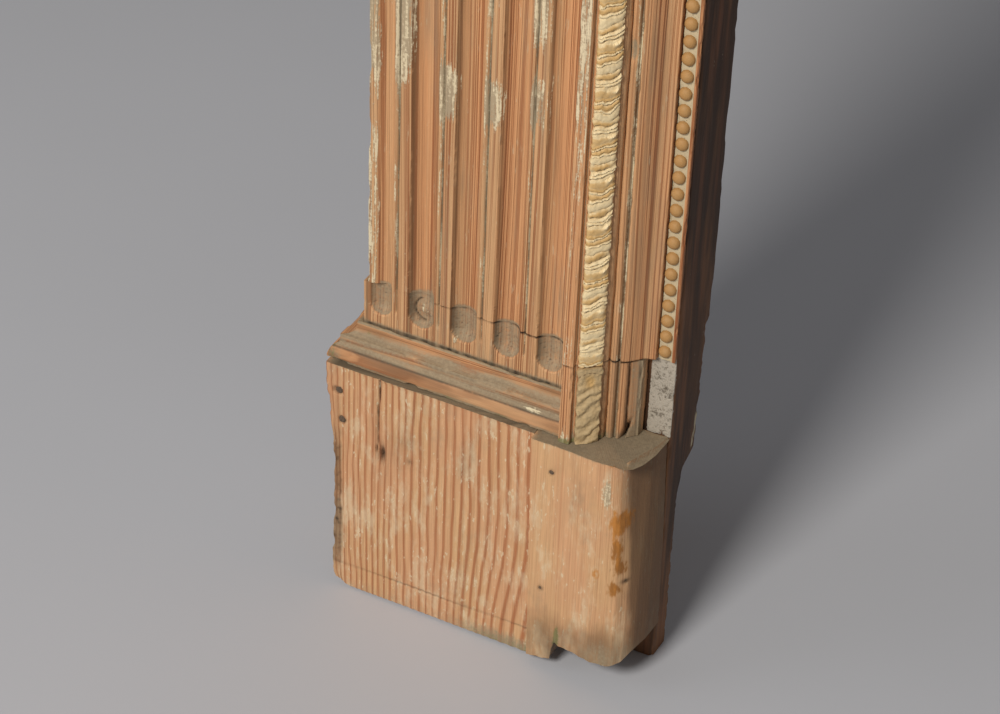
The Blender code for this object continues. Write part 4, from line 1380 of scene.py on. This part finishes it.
class MANTEL_OT_blocks(bpy.types.Operator):
    """Plinth blocks under the architrave, rounded towards the opening"""

    bl_idname = "mantel.blocks"
    bl_label = "Plinth blocks"

    def execute(self, context):
        s = sizes()
        corners = [(BLOCK_W, ARCH_BACK), *BLOCK_PLAN]
        outline = Outline(corners, 0.0009, 0.0011, 0.0024)

        def underside(q):
            u = q[:, 0] - s.plinth_lean
            z = through(u, BLOCK_FOOT)
            full = through(q[:, 0], BLOCK_FOOT_FRONT)
            p = np.where(q[:, 1] > ARCH_BACK + 0.0005, np.maximum(q[:, 1], full), q[:, 1])
            return jamb(LEFT, u, p, z + 0.0006 * line_noise(u, 0.004, 2.0))

        block = Length(
            "block_worn_left", outline, underside, level(LEFT, PLINTH_H), np.linspace(0, 1, 120), LEFT
        )
        u, p, z = block.u, block.p, block.z
        front = between(p, 0.083, 0.0855)
        ring = 0.5 + 0.5 * np.sin(2 * pi * (u + 0.002 * line_noise(z, 0.05, 2.0)) / 0.0026)
        block.p = p - 0.0002 * ring * front
        drips = (
            (0.0108, 0.126, 0.0105, 1.0), (0.0118, 0.107, 0.0120, 0.95), (0.0095, 0.094, 0.0090, 1.0),
            (0.0112, 0.079, 0.0085, 0.95), (0.0225, 0.086, 0.0070, 0.45), (0.0160, 0.168, 0.002, 1.0),
        )
        amber = np.zeros(len(u))
        for place, height, tall, amount in drips:
            amber = np.maximum(amber, amount * bump_at(u, place, 0.0052) * bump_at(z, height, tall))
        block.notes["stain"] = amber
        # Painted shade on the block's side that faces the opening, away from the light, given both as a dark
        # tint and as extra darkening.
        side_shade = 1 - between(p, 0.0700, 0.0815)
        leg_end = bump_at(u, 0.0480, 0.0035) * (1 - between(z, 0.018, 0.030))
        block.notes["grime_and_shade"] = 0.05 + 1.3 * side_shade + 0.5 * (1 - between(z, 0.03, 0.06))
        block.notes["filler"] = 0.95 * bump_at(u, 0.0187, 0.0032) * bump_at(z, 0.147, 0.013) * front
        low_dirt = 1 - between(z, 0.026, 0.052)
        block.notes["dust"] = low_dirt * (0.35 + 0.3 * bump_at(u, 0.012, 0.012))
        block.notes["moss"] = 0.9 * bump_at(u, 0.0458, 0.0022) * (1 - between(z, 0.030, 0.042))
        block.notes["chalk"] = 0.5 * low_dirt + 0.3 * bump_at(u, 0.030, 0.012)
        nail = bump_at(u, 0.0066, 0.0016) * bump_at(z, 0.083, 0.0016)
        dents = nail_dents(block, "block_nail_1", "block_nail_2") * front
        block.p = block.p - 0.001 * nail - 0.0005 * dents
        block.notes["crack_and_shade"] = np.maximum.reduce((nail, 0.5 * dents, 0.24 * side_shade, 0.55 * leg_end))
        level_top(block, 0.95, 0.22)
        block.wear(s.chip, 51.0, 0.012)
        block.sway()
        look = plinth_pine("block_pine", (0.1, 0.5), 1250)
        block.finish(look, "plinth_pine", "corner_block_left")

        whole = [(BLOCK_W, ARCH_BACK), (BLOCK_W, BLOCK_P), *arc((0.0205, 0.0725), 0.014, 90, 180)]
        right = upright("block_whole_right", [*whole, (0.0012, ARCH_BACK)], RIGHT, 0, PLINTH_H, 0.006, 0.003)
        right.notes["dust"] = (1 - between(right.z, 0.002, 0.014)) * 0.5
        level_top(right, 0.5)
        right.wear(s.plain_chip, 55.0, 0.02)
        right.finish(look, "plinth_pine", "corner_block_right")
        return {"FINISHED"}


def level_top(block, amount, soot=0.0):
    """Draws the last ring in over the level top, so that dust can lie inside its edge."""
    last = block.ring == block.ring.max()
    flat = block.first[block.point[last]]
    flat = flat + (flat.mean(0) - flat) * 0.06
    block.co[last, 0] = flat[:, 0]
    block.co[last, 1] = flat[:, 1]
    rim = block.ring == block.ring.max() - 1
    block.co[rim, 2] = PLINTH_H
    dust = block.notes.get("dust", 0)
    block.notes["dust"] = np.where(last, amount, np.where(rim, amount * 0.5, dust))
    soot = soot * (0.8 + 0.9 * speckle(block.co, 0.007, 3.0))
    block.notes["crack_and_shade"] = np.where(last, soot, block.notes.get("crack_and_shade", 0))
    block.edge = np.where(last, 0, np.where(rim, 0.5, block.edge))


def ribbon_relief(down, t, seed):
    """The ribbon's height, its ochre swells and its creases, t across it from -1 to 1."""
    pitch = sizes().ribbon_pitch
    place = np.column_stack((down / pitch, t * 0.5, np.full(len(t), seed)))
    drift = 0.085 * speckle(place, 0.45, 1.0) + 0.032 * speckle(place, 0.14, 5.0)
    f = (down / pitch + drift + 0.060 * t - 0.040 * (1 - t * t)) % 1.0
    patchy = np.clip(0.60 + 1.1 * speckle(place, 0.20, 9.0), 0, 1)
    rounded = np.clip(1 - (t * 0.93) ** 4, 0, 1)
    swell = bump_at(f, 0.060, 0.120)
    knob = bump_at(f, 0.010, 0.055) * bump_at(t, 0.55, 0.26)
    lip = bump_at(f, 0.185, 0.024)
    rib = bump_at(f, 0.330, 0.042)
    band = bump_at(f, 0.525, 0.075)
    patch = bump_at(f, 0.680, 0.045) * bump_at(t, -0.25, 0.75)
    ridges = np.maximum.reduce([bump_at(f, middle, 0.022) for middle in (0.238, 0.405, 0.805, 0.870)])
    folds = (
        (0.150, 0.012, 0.35), (0.213, 0.012, 0.6), (0.272, 0.012, 0.8), (0.375, 0.012, 0.5),
        (0.440, 0.012, 0.6), (0.615, 0.014, 0.8), (0.750, 0.018, 1.1), (0.838, 0.011, 0.6),
        (0.925, 0.016, 1.0),
    )
    creases = np.zeros(len(t))
    for middle, width, depth in folds:
        creases = np.maximum(creases, depth * bump_at(f, middle, width) * patchy)
    wrinkles = 1 - 2 * np.abs(speckle(place * (1, 0.7, 1), 0.050, 3.0))
    height = 0.0019 * np.sqrt(rounded) + 0.0008 * swell * rounded + 0.0011 * knob + 0.0004 * band
    height += 0.0008 * np.maximum.reduce((lip * 0.7, rib, patch, ridges)) - 0.0012 * creases
    height += 0.00024 * wrinkles * (1 - 0.75 * swell)
    pale = np.clip(1.2 * knob + 0.9 * ridges + 0.5 * band, 0, 1)
    ochre = np.clip(0.42 * swell + 0.9 * lip + 0.8 * rib + 0.9 * patch + 0.22, 0, 1) * (1 - pale)
    return height, ochre, creases


def ribbon_outline(width, step):
    """The ribbon's flat outline on its sloping bed: t across and n out of the bed."""
    half = width / 2
    across_it = np.linspace(-half, half, max(8, ceil(width / step)))
    return Outline([(-half, -0.0004), *[(t, 0.0) for t in across_it], (half, -0.0004)], 0.0, 0.02)


def bed_frame():
    """The ribbon bed's (u, p) direction towards the opening, the one out of it, and its middle."""
    (u0, p0), (u1, p1) = RIBBON_BED
    run = hypot(u1 - u0, p1 - p0)
    along = np.array(((u1 - u0) / run, (p1 - p0) / run))
    return along, np.array((along[1], -along[0])), np.array(((u0 + u1) / 2, (p0 + p1) / 2))


BED_ALONG, BED_OUT, BED_MIDDLE = bed_frame()


def on_bed(where):
    """Turns a function of (u, p) into one of points (t, n) on the ribbon's bed."""

    def placed(q):
        points = BED_MIDDLE + np.outer(q[:, 0], BED_ALONG) + np.outer(q[:, 1] + GAP, BED_OUT)
        return where(points[:, 0], points[:, 1])

    return placed


def ribbon_up(name, section, side, z0, marks):
    """A ribbon up a jamb's bed to the mitre."""
    return Length(
        name, section,
        on_bed(lambda u, p: jamb(side, u, p, z0)),
        on_bed(lambda u, p: jamb(side, u, p, mitre_z(u))),
        (marks - z0) / (mitre_z(0) - z0), side,
    )


def lift_jamb(piece, shift, height):
    """Moves a jamb's ribbon along its bed and out of it."""
    piece.u = piece.u + BED_ALONG[0] * shift + BED_OUT[0] * height
    piece.p = piece.p + BED_ALONG[1] * shift + BED_OUT[1] * height


def lift_head(piece, shift, height):
    """The same on the head."""
    piece.co[:, 2] += BED_ALONG[0] * shift + BED_OUT[0] * height
    piece.co[:, 1] -= BED_ALONG[1] * shift + BED_OUT[1] * height


def dress_ribbon(piece, section, down, seed, flatten, lift):
    """Raises the relief out of the flat ribbon, ruffles its two edges and notes its hollows."""
    half = sizes().ribbon_w / 2
    t = section.points[piece.point, 0] / half
    top = section.points[piece.point, 1] > -0.0001
    height, ochre, creases = ribbon_relief(down, t, seed)
    plain = 0.0022 * np.sqrt(np.clip(1 - (t * 0.9) ** 4, 0, 1))
    height = height * (1 - flatten) + plain * flatten
    height = np.maximum(height + 0.00022 * speckle(piece.co, 0.0021, seed), 0.0003)
    ruffle = 0.13 * line_noise(down, 0.0042, seed + 3) + 0.07 * line_noise(down, 0.0016, seed)
    shift = np.sign(t) * np.abs(t) ** 3 * (ruffle - 0.06) * half
    piece.notes["deep"] = ochre * (1 - flatten * 0.4) + 0.12
    thin = 1 - between(height, 0.0004, 0.0012)
    piece.notes["crack_and_shade"] = np.clip(np.maximum(creases * 0.8, thin) * (1 - flatten * 0.4), 0, 1)
    lift(piece, shift, np.where(top, height, 0))


class MANTEL_OT_ribbons(bpy.types.Operator):
    """Moulded ribbon in the architrave's bed, and the worn slab of it on the foot"""

    bl_idname = "mantel.ribbons"
    bl_label = "Ribbons"

    def execute(self, context):
        s = sizes()
        look = moulded("composition_ribbon", colours().ribbon, colours().ribbon_deep)
        outline = ribbon_outline(s.ribbon_w, 0.0006)
        coarse = ribbon_outline(s.ribbon_w, 0.0012)
        z0 = JOINT_Z + GAP
        top = mitre_z(0)
        marks = stations(z0, top, 0.0013, (z0, NEAR_TOP, 0.0006))
        jobs = (
            ("left", LEFT, outline, z0, marks),
            ("right", RIGHT, coarse, BASE_Z, stations(BASE_Z, top, 0.0014)),
        )
        for name, side, section, start, marks in jobs:
            piece = ribbon_up(f"ribbon_relief_{name}", section, side, start, marks)
            flat = (1 - between(piece.z, z0, z0 + 0.06)) * 0.40 * (side == LEFT)
            dress_ribbon(piece, section, 1.2 - piece.z, 3.0 + side, flat, lift_jamb)
            if side == LEFT:
                piece.notes["ground"] = 0.8 * (1 - between(piece.z, z0, z0 + 0.08))
                piece.sway()
            piece.finish(look, "composition", f"ribbon_{name}")

        reach = mitre_x(0)
        over = Length(
            "ribbon_relief_over", coarse,
            on_bed(lambda u, p: head(-mitre_x(u), u, p)),
            on_bed(lambda u, p: head(mitre_x(u), u, p)),
            (stations(-reach, reach, 0.0014) + reach) / (2 * reach),
        )
        dress_ribbon(over, coarse, over.co[:, 0] + 2, 7.0, 0.0, lift_head)
        over.finish(look, "composition", "ribbon_head")

        slab = ribbon_outline(SLAB_W, 0.0005)
        z1 = JOINT_Z - 0.0016

        def slab_top(q):
            end = z1 + 0.0012 * line_noise(q[:, 0], 0.004, 6.0)
            return on_bed(lambda u, p: jamb(LEFT, u, p, end))(q)

        slab_foot = on_bed(lambda u, p: jamb(LEFT, u, p, BASE_Z))
        piece = Length("ribbon_slab_foot", slab, slab_foot, slab_top, np.linspace(0, 1, 100), LEFT)
        z = piece.z
        t = slab.points[piece.point, 0] / (SLAB_W / 2)
        upper = slab.points[piece.point, 1] > -0.0001
        body = 0.0024 * np.sqrt(np.clip(1 - (t * 0.85) ** 6, 0, 1))
        wander = 0.55 * speckle(piece.co, 0.012, 3.0) + 0.25 * speckle(piece.co, 0.005, 8.0)
        folds = 0.0005 * np.sin(2 * pi * (z / 0.0080 - 0.45 * t + wander))
        folds *= 1 - between(z, 0.206, 0.212)
        hollow = -0.0007 * bump_at(z, 0.2115, 0.0035) * bump_at(t, 0.0, 0.5)
        height = body + folds + hollow + 0.0004 * speckle(piece.co, 0.0016, 4.0)
        height = np.where(upper, np.maximum(height, 0.0004), 0)
        shift = np.sign(t) * np.abs(t) ** 3 * 0.0011 * line_noise(z, 0.005, 4.0)
        lift_jamb(piece, shift, height)
        piece.notes["deep"] = 0.25 + 0.9 * bump_at(z, 0.2115, 0.004) * bump_at(t, 0.05, 0.4)
        curve = 0.2150 + 0.0028 * (1 - t * t)
        hairline = bump_at(z, curve, 0.0007) * np.clip(0.8 + line_noise(t, 0.2, 3.0), 0, 1)
        thin = np.clip(1 - between(height, 0.0010, 0.0019), 0, 1) * 0.75
        piece.notes["crack_and_shade"] = np.maximum(thin, hairline) * upper
        piece.notes["ground"] = np.full(len(z), 0.8)
        piece.sway()
        foot_look = moulded("composition_foot", screen(188, 164, 124), colours().ribbon_deep)
        piece.finish(foot_look, "composition", "ribbon_foot_left")
        return {"FINISHED"}


def bead(name, look):
    """One bead as a low dome of few faces, standing out along -Y from the origin."""
    s = sizes()
    bpy.ops.object.select_all(action="DESELECT")
    bpy.ops.mesh.primitive_uv_sphere_add(segments=10, ring_count=6, radius=1, rotation=(pi / 2, 0, 0))
    made = bpy.context.object
    made.name = name
    made.data.materials.append(look)
    made.scale = (s.bead_d / 2, s.bead_d / 2, s.bead_h)
    bpy.ops.object.transform_apply(location=False, rotation=True, scale=True)
    bpy.ops.object.mode_set(mode="EDIT")
    bpy.ops.mesh.select_all(action="SELECT")
    bpy.ops.mesh.bisect(plane_co=(0, 0.0008, 0), plane_no=(0, 1, 0), clear_outer=True, use_fill=True)
    bpy.ops.object.mode_set(mode="OBJECT")
    return made


def bead_row(strip, places, seed, worn):
    """Copies the bead along a strip, each one a little different, and joins them to it."""
    first = bead("bead_pattern", strip.data.materials[0])
    base = np.zeros(len(first.data.vertices) * 3)
    first.data.vertices.foreach_get("co", base)
    base = base.reshape(-1, 3)
    copies = []
    for number, place in enumerate(places):
        mesh = first.data.copy()
        size = 1 + 0.06 * worn * noise.noise(Vector((number * 0.7, seed, 0)))
        tilt = worn * 0.00035 * noise.noise(Vector((number * 0.9, 0, seed)))
        low_side = 1 - worn * 0.30 * max(0, noise.noise(Vector((number * 0.37, 5, seed))))
        shaped = base * (size, low_side, size) + np.asarray(place) + (tilt, 0, tilt)
        mesh.vertices.foreach_set("co", shaped.ravel())
        copy = bpy.data.objects.new(f"bead_copy_{number}", mesh)
        bpy.context.scene.collection.objects.link(copy)
        write_note(copy, "deep", np.full(len(base), 0.12))
        write_note(copy, "ground", np.full(len(base), 0.35))
        copies.append(copy)
    bpy.data.objects.remove(first)
    bpy.ops.object.select_all(action="DESELECT")
    for copy in copies:
        copy.select_set(True)
    strip.select_set(True)
    bpy.context.view_layer.objects.active = strip
    bpy.ops.object.join()
    bpy.ops.object.shade_smooth_by_angle(angle=radians(50))


def spaced(start, end):
    """Middles of as many beads as go between two places, centred there."""
    pitch = sizes().bead_pitch
    count = int((end - start) / pitch)
    first = (start + end - (count - 1) * pitch) / 2
    return [first + number * pitch for number in range(count)]


class MANTEL_OT_beads(bpy.types.Operator):
    """Rows of beads along the opening"""

    bl_idname = "mantel.beads"
    bl_label = "Bead strips"

    def execute(self, context):
        look = moulded("ochre_beads", colours().bead, colours().ground)
        corners = rectangle(0, ARCH_INNER - GAP, ARCH_BACK, ARCH_BACK + STRIP_T)
        outline = Outline(corners, 0.0005, 0.0009, 0.0014)
        middle = (STRIP_EDGE + ARCH_INNER - GAP) / 2
        front_y = BACK_Y - ARCH_BACK - STRIP_T
        top = mitre_z(0)
        for name, side, start, worn in (("left", LEFT, JOINT_Z + GAP, 1.0), ("right", RIGHT, BASE_Z, 0.3)):
            fine = [(start, NEAR_TOP, 0.0016)] if side == LEFT else []
            strip = up_the_jamb(f"beads_{name}", outline, side, start, stations(start, top, 0.01, *fine))
            self.dress(strip, strip.u, side == LEFT)
            heights = spaced(start, mitre_z(middle) - BEAD_CLEAR)
            made = strip.finish(look, "painted_beads", f"bead_strip_{name}")
            bead_row(made, [(side * (HALF + middle), front_y, z) for z in heights], 3.0 + side, worn)
        strip = over_the_opening("beads_over_opening", outline, stations(-HALF, HALF, 0.01))
        self.dress(strip, strip.z - OPENING_H, False)
        reach = mitre_x(middle) - BEAD_CLEAR
        made = strip.finish(look, "painted_beads", "bead_strip_head")
        bead_row(made, [(x, front_y, OPENING_H + middle) for x in spaced(-reach, reach)], 6.0, 0.3)
        return {"FINISHED"}

    @staticmethod
    def dress(strip, out, worn):
        s = sizes()
        face = strip.p > ARCH_BACK + 0.0020
        strip.notes["wood"] = 1 - between(out, 0.0018, 0.0023)
        strip.notes["ground"] = np.ones(len(out))
        strip.notes["deep"] = np.ones(len(out))
        rough = 0.0006 * speckle(strip.co, 0.0024, 2.0) * face * between(out, 0.0020, 0.0030)
        strip.p = strip.p + rough - 0.0005 * face * between(out, 0.0020, 0.0028)
        strip.wear(s.chip * 0.8 if worn else s.plain_chip, 61.0, 0.01)


def broken_back(z):
    """Where the left lining board's broken back edge lies, in front of the back plane."""
    return through(z, BROKEN_BACK)


class MANTEL_OT_linings(bpy.types.Operator):
    """Boards that line the opening, the left one broken along its back edge"""

    bl_idname = "mantel.linings"
    bl_label = "Lining boards"

    def execute(self, context):
        s = sizes()
        corners = rectangle(0, LINING_T, 0, LINING_D)
        outline = Outline(corners, 0.0007, 0.0018)
        top = mitre_z(0)
        marks = stations(0, top, 0.02, (0, 0.24, 0.0016), (0.24, NEAR_TOP, 0.006))
        left = up_the_jamb("lining_broken_left", outline, LEFT, 0.0, marks)
        z = left.z
        ragged = 0.0022 * line_noise(z, 0.009, 3.0) + 0.0012 * line_noise(z, 0.003, 7.0)
        edge = broken_back(z) + ragged * (z < 0.24)
        left.p = np.maximum(left.p, edge)
        left.notes["paint"] = bump_at(left.p, 0.010, 0.006) * bump_at(z, 0.150, 0.02)
        front = left.p > LINING_D - 0.0007
        bare = front * between(z, BASE_Z - 0.002, BASE_Z) * (1 - between(z, JOINT_Z, JOINT_Z + 0.001))
        low_edge = between(left.u, -0.002, 0.006) * (1 - between(z, 0.170, 0.190))
        thinned = low_edge * (1 - between(left.u, 0.006, 0.011))
        left.notes["plaster"] = bare * (1 - between(left.u, 0.0135, 0.0165)) * (1 - 0.5 * thinned)
        away = np.hypot(left.u - 0.0125, z - 0.1935)
        ring = bump_at(away, 0.0025, 0.0008)
        left.notes["crack_and_shade"] = bare * np.maximum(0.8 * ring, 0.6 * (1 - between(z, 0.170, 0.176)))
        left.wear(s.chip, 71.0, 0.015)
        left.sway().finish(dark_pine("dark_pine_upright", 2), "dark_pine", "reveal_board_left")
        plain = Outline(corners, 0.0006, 0.006)
        right = up_the_jamb("lining_whole_right", plain, RIGHT, 0.0, stations(0, top, 0.02))
        right.wear(s.plain_chip, 74.0)
        right.finish(dark_pine("dark_pine_upright", 2), "dark_pine", "reveal_board_right")
        over = over_the_opening("lining_over_opening", plain, stations(-HALF, HALF, 0.02))
        over.wear(s.plain_chip, 77.0)
        over.finish(dark_pine("dark_pine_across", 0), "dark_pine", "soffit_board")
        return {"FINISHED"}


class MANTEL_OT_sides(bpy.types.Operator):
    """Boards along the outer sides of the jambs"""

    bl_idname = "mantel.sides"
    bl_label = "Side boards"

    def execute(self, context):
        s = sizes()
        for name, side in SIDES:
            inner = low(f"return_board_{name}").x if side == RIGHT else -high(f"return_board_{name}").x
            corners = rectangle(inner - HALF, PILASTER_OUTER, 0, BOARD_BACK - GAP)
            board = upright(f"outer_side_{name}", corners, side, 0, TOP_Z, 0.016, 0.006)
            board.notes["dust"] = 0.35 * (1 - between(board.u, inner - HALF, inner - HALF + 0.004))
            board.wear(s.plain_chip, 80.0 + side, 0.03)
            look = pine("side_pine", 2, (0.62, 0.4), 0.02, 1.8)
            board.finish(look, "back_pine", f"return_board_{name}")
        return {"FINISHED"}


def cornice_corners():
    """Section of the cornice as (out, up)."""
    ovolo = arc((CORNICE_FILLET, CORNICE_FILLET + CORNICE_OVOLO), CORNICE_OVOLO, 270, 360)
    mid_z = CORNICE_FILLET + CORNICE_OVOLO + CORNICE_MID
    hollow = (CORNICE_FILLET + CORNICE_OVOLO + CORNICE_CAVETTO, mid_z)
    edge = hollow[0] + CORNICE_TOP
    crown = [(edge, mid_z + CORNICE_CAVETTO), (edge, CORNICE_H), (0, CORNICE_H)]
    return [(0, 0), (CORNICE_FILLET, 0), *ovolo, *arc(hollow, CORNICE_CAVETTO, 180, 90), *crown]


class MANTEL_OT_top(bpy.types.Operator):
    """Frieze, end blocks, cornice and shelf"""

    bl_idname = "mantel.top"
    bl_label = "Frieze, cornice and shelf"

    def execute(self, context):
        s = sizes()
        reach = HALF + PILASTER_OUTER
        z0 = low("frieze_board").z
        outline = Outline(rectangle(z0, TOP_Z, BOARD_BACK, FACE_P), 0.0006, 0.006)
        frieze = Length(
            "frieze", outline,
            lambda q: points_at(-reach, BACK_Y - q[:, 1], q[:, 0]),
            lambda q: points_at(reach, BACK_Y - q[:, 1], q[:, 0]),
            np.linspace(0, 1, 110),
        )
        frieze.wear(s.plain_chip, 91.0, 0.03)
        frieze.finish(pine("frieze_pine", 0, (0.3, 1.25), 0.03, 2.2), "stripped_pine", "frieze_board")
        for name, side in SIDES:
            self.end_block(name, side)
        section = Outline(cornice_corners(), 0.0006, 0.003, 0.0018, 0.004)

        def mitre(side):
            return lambda q: jamb(side, PILASTER_OUTER + q[:, 0], FACE_BACK + q[:, 0], CORNICE_Z + q[:, 1])

        front = Length("cornice_front", section, mitre(LEFT), mitre(RIGHT), np.linspace(0, 1, 100))
        front.wear(s.plain_chip, 94.0, 0.03).finish(pine_across(), "stripped_pine", "cornice")
        for name, side in SIDES:
            back = moulding_return(f"cornice_side_{name}", side, section, PILASTER_OUTER, CORNICE_Z, 0.008)
            back.wear(s.plain_chip, 97.0 + side)
            back.finish(pine_back(), "stripped_pine", f"cornice_return_{name}")
        self.shelf()
        return {"FINISHED"}

    @staticmethod
    def end_block(name, side):
        (x0, y0, z0), (x1, y1, z1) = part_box(f"end_block_{name}")
        outline = Outline(rectangle(x0, x1, z0, z1), 0.0004, 0.006)
        middle = np.array(((x0 + x1) / 2, (z0 + z1) / 2))
        half = np.array(((x1 - x0) / 2, (z1 - z0) / 2))

        def face(q):
            moved = middle + (q - middle) * (half - CHAMFER) / half
            return points_at(moved[:, 0], y0, moved[:, 1])

        def back(q):
            return points_at(q[:, 0], y1, q[:, 1])

        block = Length(f"end_block_face_{name}", outline, back, face, (0, 0.5, 0.66, 1))
        square = block.share < 0.99
        block.co[square, 0] = outline.points[block.point[square], 0]
        block.co[square, 2] = outline.points[block.point[square], 1]
        block.wear(sizes().plain_chip, 99.0 + side)
        block.finish(pine_up(), "stripped_pine", f"end_block_{name}")

    @staticmethod
    def shelf():
        (x0, y0, z0), (x1, y1, z1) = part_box("shelf")
        middle = (z0 + z1) / 2
        thick = (z1 - z0) / 2
        turns = np.linspace(-pi / 2, pi / 2, 13)
        edge = [(y0 + NOSING - NOSING * cos(a), middle + thick * sin(a)) for a in turns]
        outline = Outline([(y1, z0), *edge, (y1, z1)], 0.0005, 0.008)
        ends = 1 - np.cos(np.linspace(0, pi / 2, 7))[:-1]
        near = NOSING * ends / (x1 - x0)
        middle_marks = np.linspace(NOSING / (x1 - x0), 1 - NOSING / (x1 - x0), 96)
        piece = Length(
            "shelf_board", outline,
            lambda q: points_at(x0, q[:, 0], q[:, 1]),
            lambda q: points_at(x1, q[:, 0], q[:, 1]),
            np.unique(np.concatenate((near, middle_marks, 1 - near))),
        )
        from_end = np.minimum(piece.co[:, 0] - x0, x1 - piece.co[:, 0])
        keep = np.sqrt(np.clip(1 - (1 - np.clip(from_end / NOSING, 0, 1)) ** 2, 0.01, 1))
        piece.co[:, 2] = middle + (piece.co[:, 2] - middle) * keep
        piece.wear(sizes().plain_chip, 103.0, 0.03)
        piece.finish(pine("shelf_pine", 0, (0.02, 1.0), 0.03, 2.0), "stripped_pine", "shelf")


class MANTEL_OT_nails(bpy.types.Operator):
    """Old nail heads in the left plinth"""

    bl_idname = "mantel.nails"
    bl_label = "Nails"

    def execute(self, context):
        look = rusty("rusty_iron")
        for name in ("plinth_nail_1", "plinth_nail_2", "block_nail_1", "block_nail_2"):
            self.head(name, look)
        return {"FINISHED"}

    @staticmethod
    def head(name, look):
        lowest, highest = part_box(name)
        middle = (lowest + highest) / 2
        deep = highest.y - lowest.y
        bpy.ops.object.select_all(action="DESELECT")
        bpy.ops.mesh.primitive_cylinder_add(
            vertices=16, radius=nail_radius(name), depth=deep,
            location=middle, rotation=(pi / 2, 0, 0),
        )
        nail = bpy.context.object
        nail.name = f"{name}_head"
        bpy.ops.object.transform_apply(location=True, rotation=True, scale=True)
        bpy.context.tool_settings.mesh_select_mode = (False, False, True)
        bpy.ops.object.mode_set(mode="EDIT")
        bpy.ops.mesh.select_all(action="DESELECT")
        bpy.ops.object.mode_set(mode="OBJECT")
        for face in nail.data.polygons:
            face.select = face.normal.y < -0.9
        bpy.ops.object.mode_set(mode="EDIT")
        bpy.ops.mesh.bevel(offset=0.0004, segments=2)
        bpy.ops.mesh.inset(thickness=0.0006, depth=-0.0003)
        bpy.ops.object.mode_set(mode="OBJECT")
        bpy.context.tool_settings.mesh_select_mode = (True, False, False)
        for vertex in nail.data.vertices:
            vertex.co += 0.0001 * noise.noise_vector(vertex.co * 900)
        settle(nail, look, "iron", name)


class MANTEL_OT_stage(bpy.types.Operator):
    """Pale floor, soft studio light and the camera"""

    bl_idname = "mantel.stage"
    bl_label = "Stage"

    def execute(self, context):
        self.floor()
        self.light("key", (-0.78, -3.0, 2.8), 1.1, 131, (1.0, 0.955, 0.89))
        self.light("fill", (-2.8, -1.6, 1.6), 1.8, 12, (0.94, 0.96, 1.0))
        world = bpy.data.worlds.new("soft_room")
        world.use_nodes = True
        background = world.node_tree.nodes["Background"]
        background.inputs["Color"].default_value = (0.90, 0.88, 0.87, 1)
        background.inputs["Strength"].default_value = 0.195
        context.scene.world = world
        context.scene.view_settings.view_transform = "Standard"
        self.camera()
        return {"FINISHED"}

    @staticmethod
    def floor():
        bpy.ops.object.select_all(action="DESELECT")
        bpy.ops.mesh.primitive_plane_add(size=14, location=(0, 0, 0))
        floor = bpy.context.object
        floor.name = "studio_floor"
        finish = Finish("studio_floor")
        cloud = finish.noise((3, 3, 3), 3.0)
        tint = finish.shade(colours().floor, cloud * 0.06 + 0.97)
        floor.data.materials.append(finish.done(tint, cloud * 0.1 + 0.55, cloud, 0.0001))

    @staticmethod
    def light(name, place, size, power, tint):
        lamp = bpy.data.lights.new(name, "AREA")
        lamp.shape = "DISK"
        lamp.size = size
        lamp.energy = power
        lamp.color = tint
        holder = bpy.data.objects.new(name, lamp)
        bpy.context.scene.collection.objects.link(holder)
        aim = Vector(AIM) - Vector(place)
        holder.matrix_world = Matrix.Translation(place) @ aim.to_track_quat("-Z", "Y").to_matrix().to_4x4()

    @staticmethod
    def camera():
        turn, tip, roll = radians(CAMERA_TURN), radians(CAMERA_TIP), radians(CAMERA_ROLL)
        forward = Vector((-sin(turn) * cos(tip), cos(turn) * cos(tip), -sin(tip)))
        level = Vector((cos(turn), sin(turn), 0))
        upward = level.cross(forward)
        right = level * cos(roll) + upward * sin(roll)
        top = upward * cos(roll) - level * sin(roll)
        lens = bpy.data.cameras.new("camera")
        lens.sensor_width = 36
        lens.sensor_fit = "HORIZONTAL"
        lens.lens = CAMERA_LENS
        holder = bpy.data.objects.new("camera", lens)
        bpy.context.scene.collection.objects.link(holder)
        axes = Matrix((right, top, -forward)).transposed().to_4x4()
        holder.matrix_world = Matrix.Translation(CAMERA_PLACE) @ axes
        bpy.context.scene.camera = holder


PIECES = (
    MANTEL_OT_flutes, MANTEL_OT_architrave, MANTEL_OT_mouldings, MANTEL_OT_plinths,
    MANTEL_OT_blocks, MANTEL_OT_ribbons, MANTEL_OT_beads, MANTEL_OT_linings,
    MANTEL_OT_sides, MANTEL_OT_top, MANTEL_OT_nails, MANTEL_OT_stage,
)


class MANTEL_PT_panel(bpy.types.Panel):
    """Lists the pieces of the mantel, and its sizes and colours"""

    bl_idname = "MANTEL_PT_panel"
    bl_label = "Carved pine mantel"
    bl_space_type = "VIEW_3D"
    bl_region_type = "UI"
    bl_category = "Mantel"

    def draw(self, context):
        for piece in PIECES:
            self.layout.operator(piece.bl_idname)
        for group in (context.scene.mantel_sizes, context.scene.mantel_colours):
            box = self.layout.box()
            for name in group.bl_rna.properties.keys():
                if name not in ("rna_type", "name"):
                    box.prop(group, name)


CLASSES = (MantelSizes, MantelColours, *PIECES, MANTEL_PT_panel)


def register():
    for cls in CLASSES:
        bpy.utils.register_class(cls)
    bpy.types.Scene.mantel_sizes = bpy.props.PointerProperty(type=MantelSizes)
    bpy.types.Scene.mantel_colours = bpy.props.PointerProperty(type=MantelColours)


def unregister():
    del bpy.types.Scene.mantel_colours
    del bpy.types.Scene.mantel_sizes
    for cls in reversed(CLASSES):
        bpy.utils.unregister_class(cls)


def main():
    register()
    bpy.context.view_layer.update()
    for piece in PIECES:
        group, name = piece.bl_idname.split(".")
        getattr(getattr(bpy.ops, group), name)()


if __name__ == "__main__":
    main()
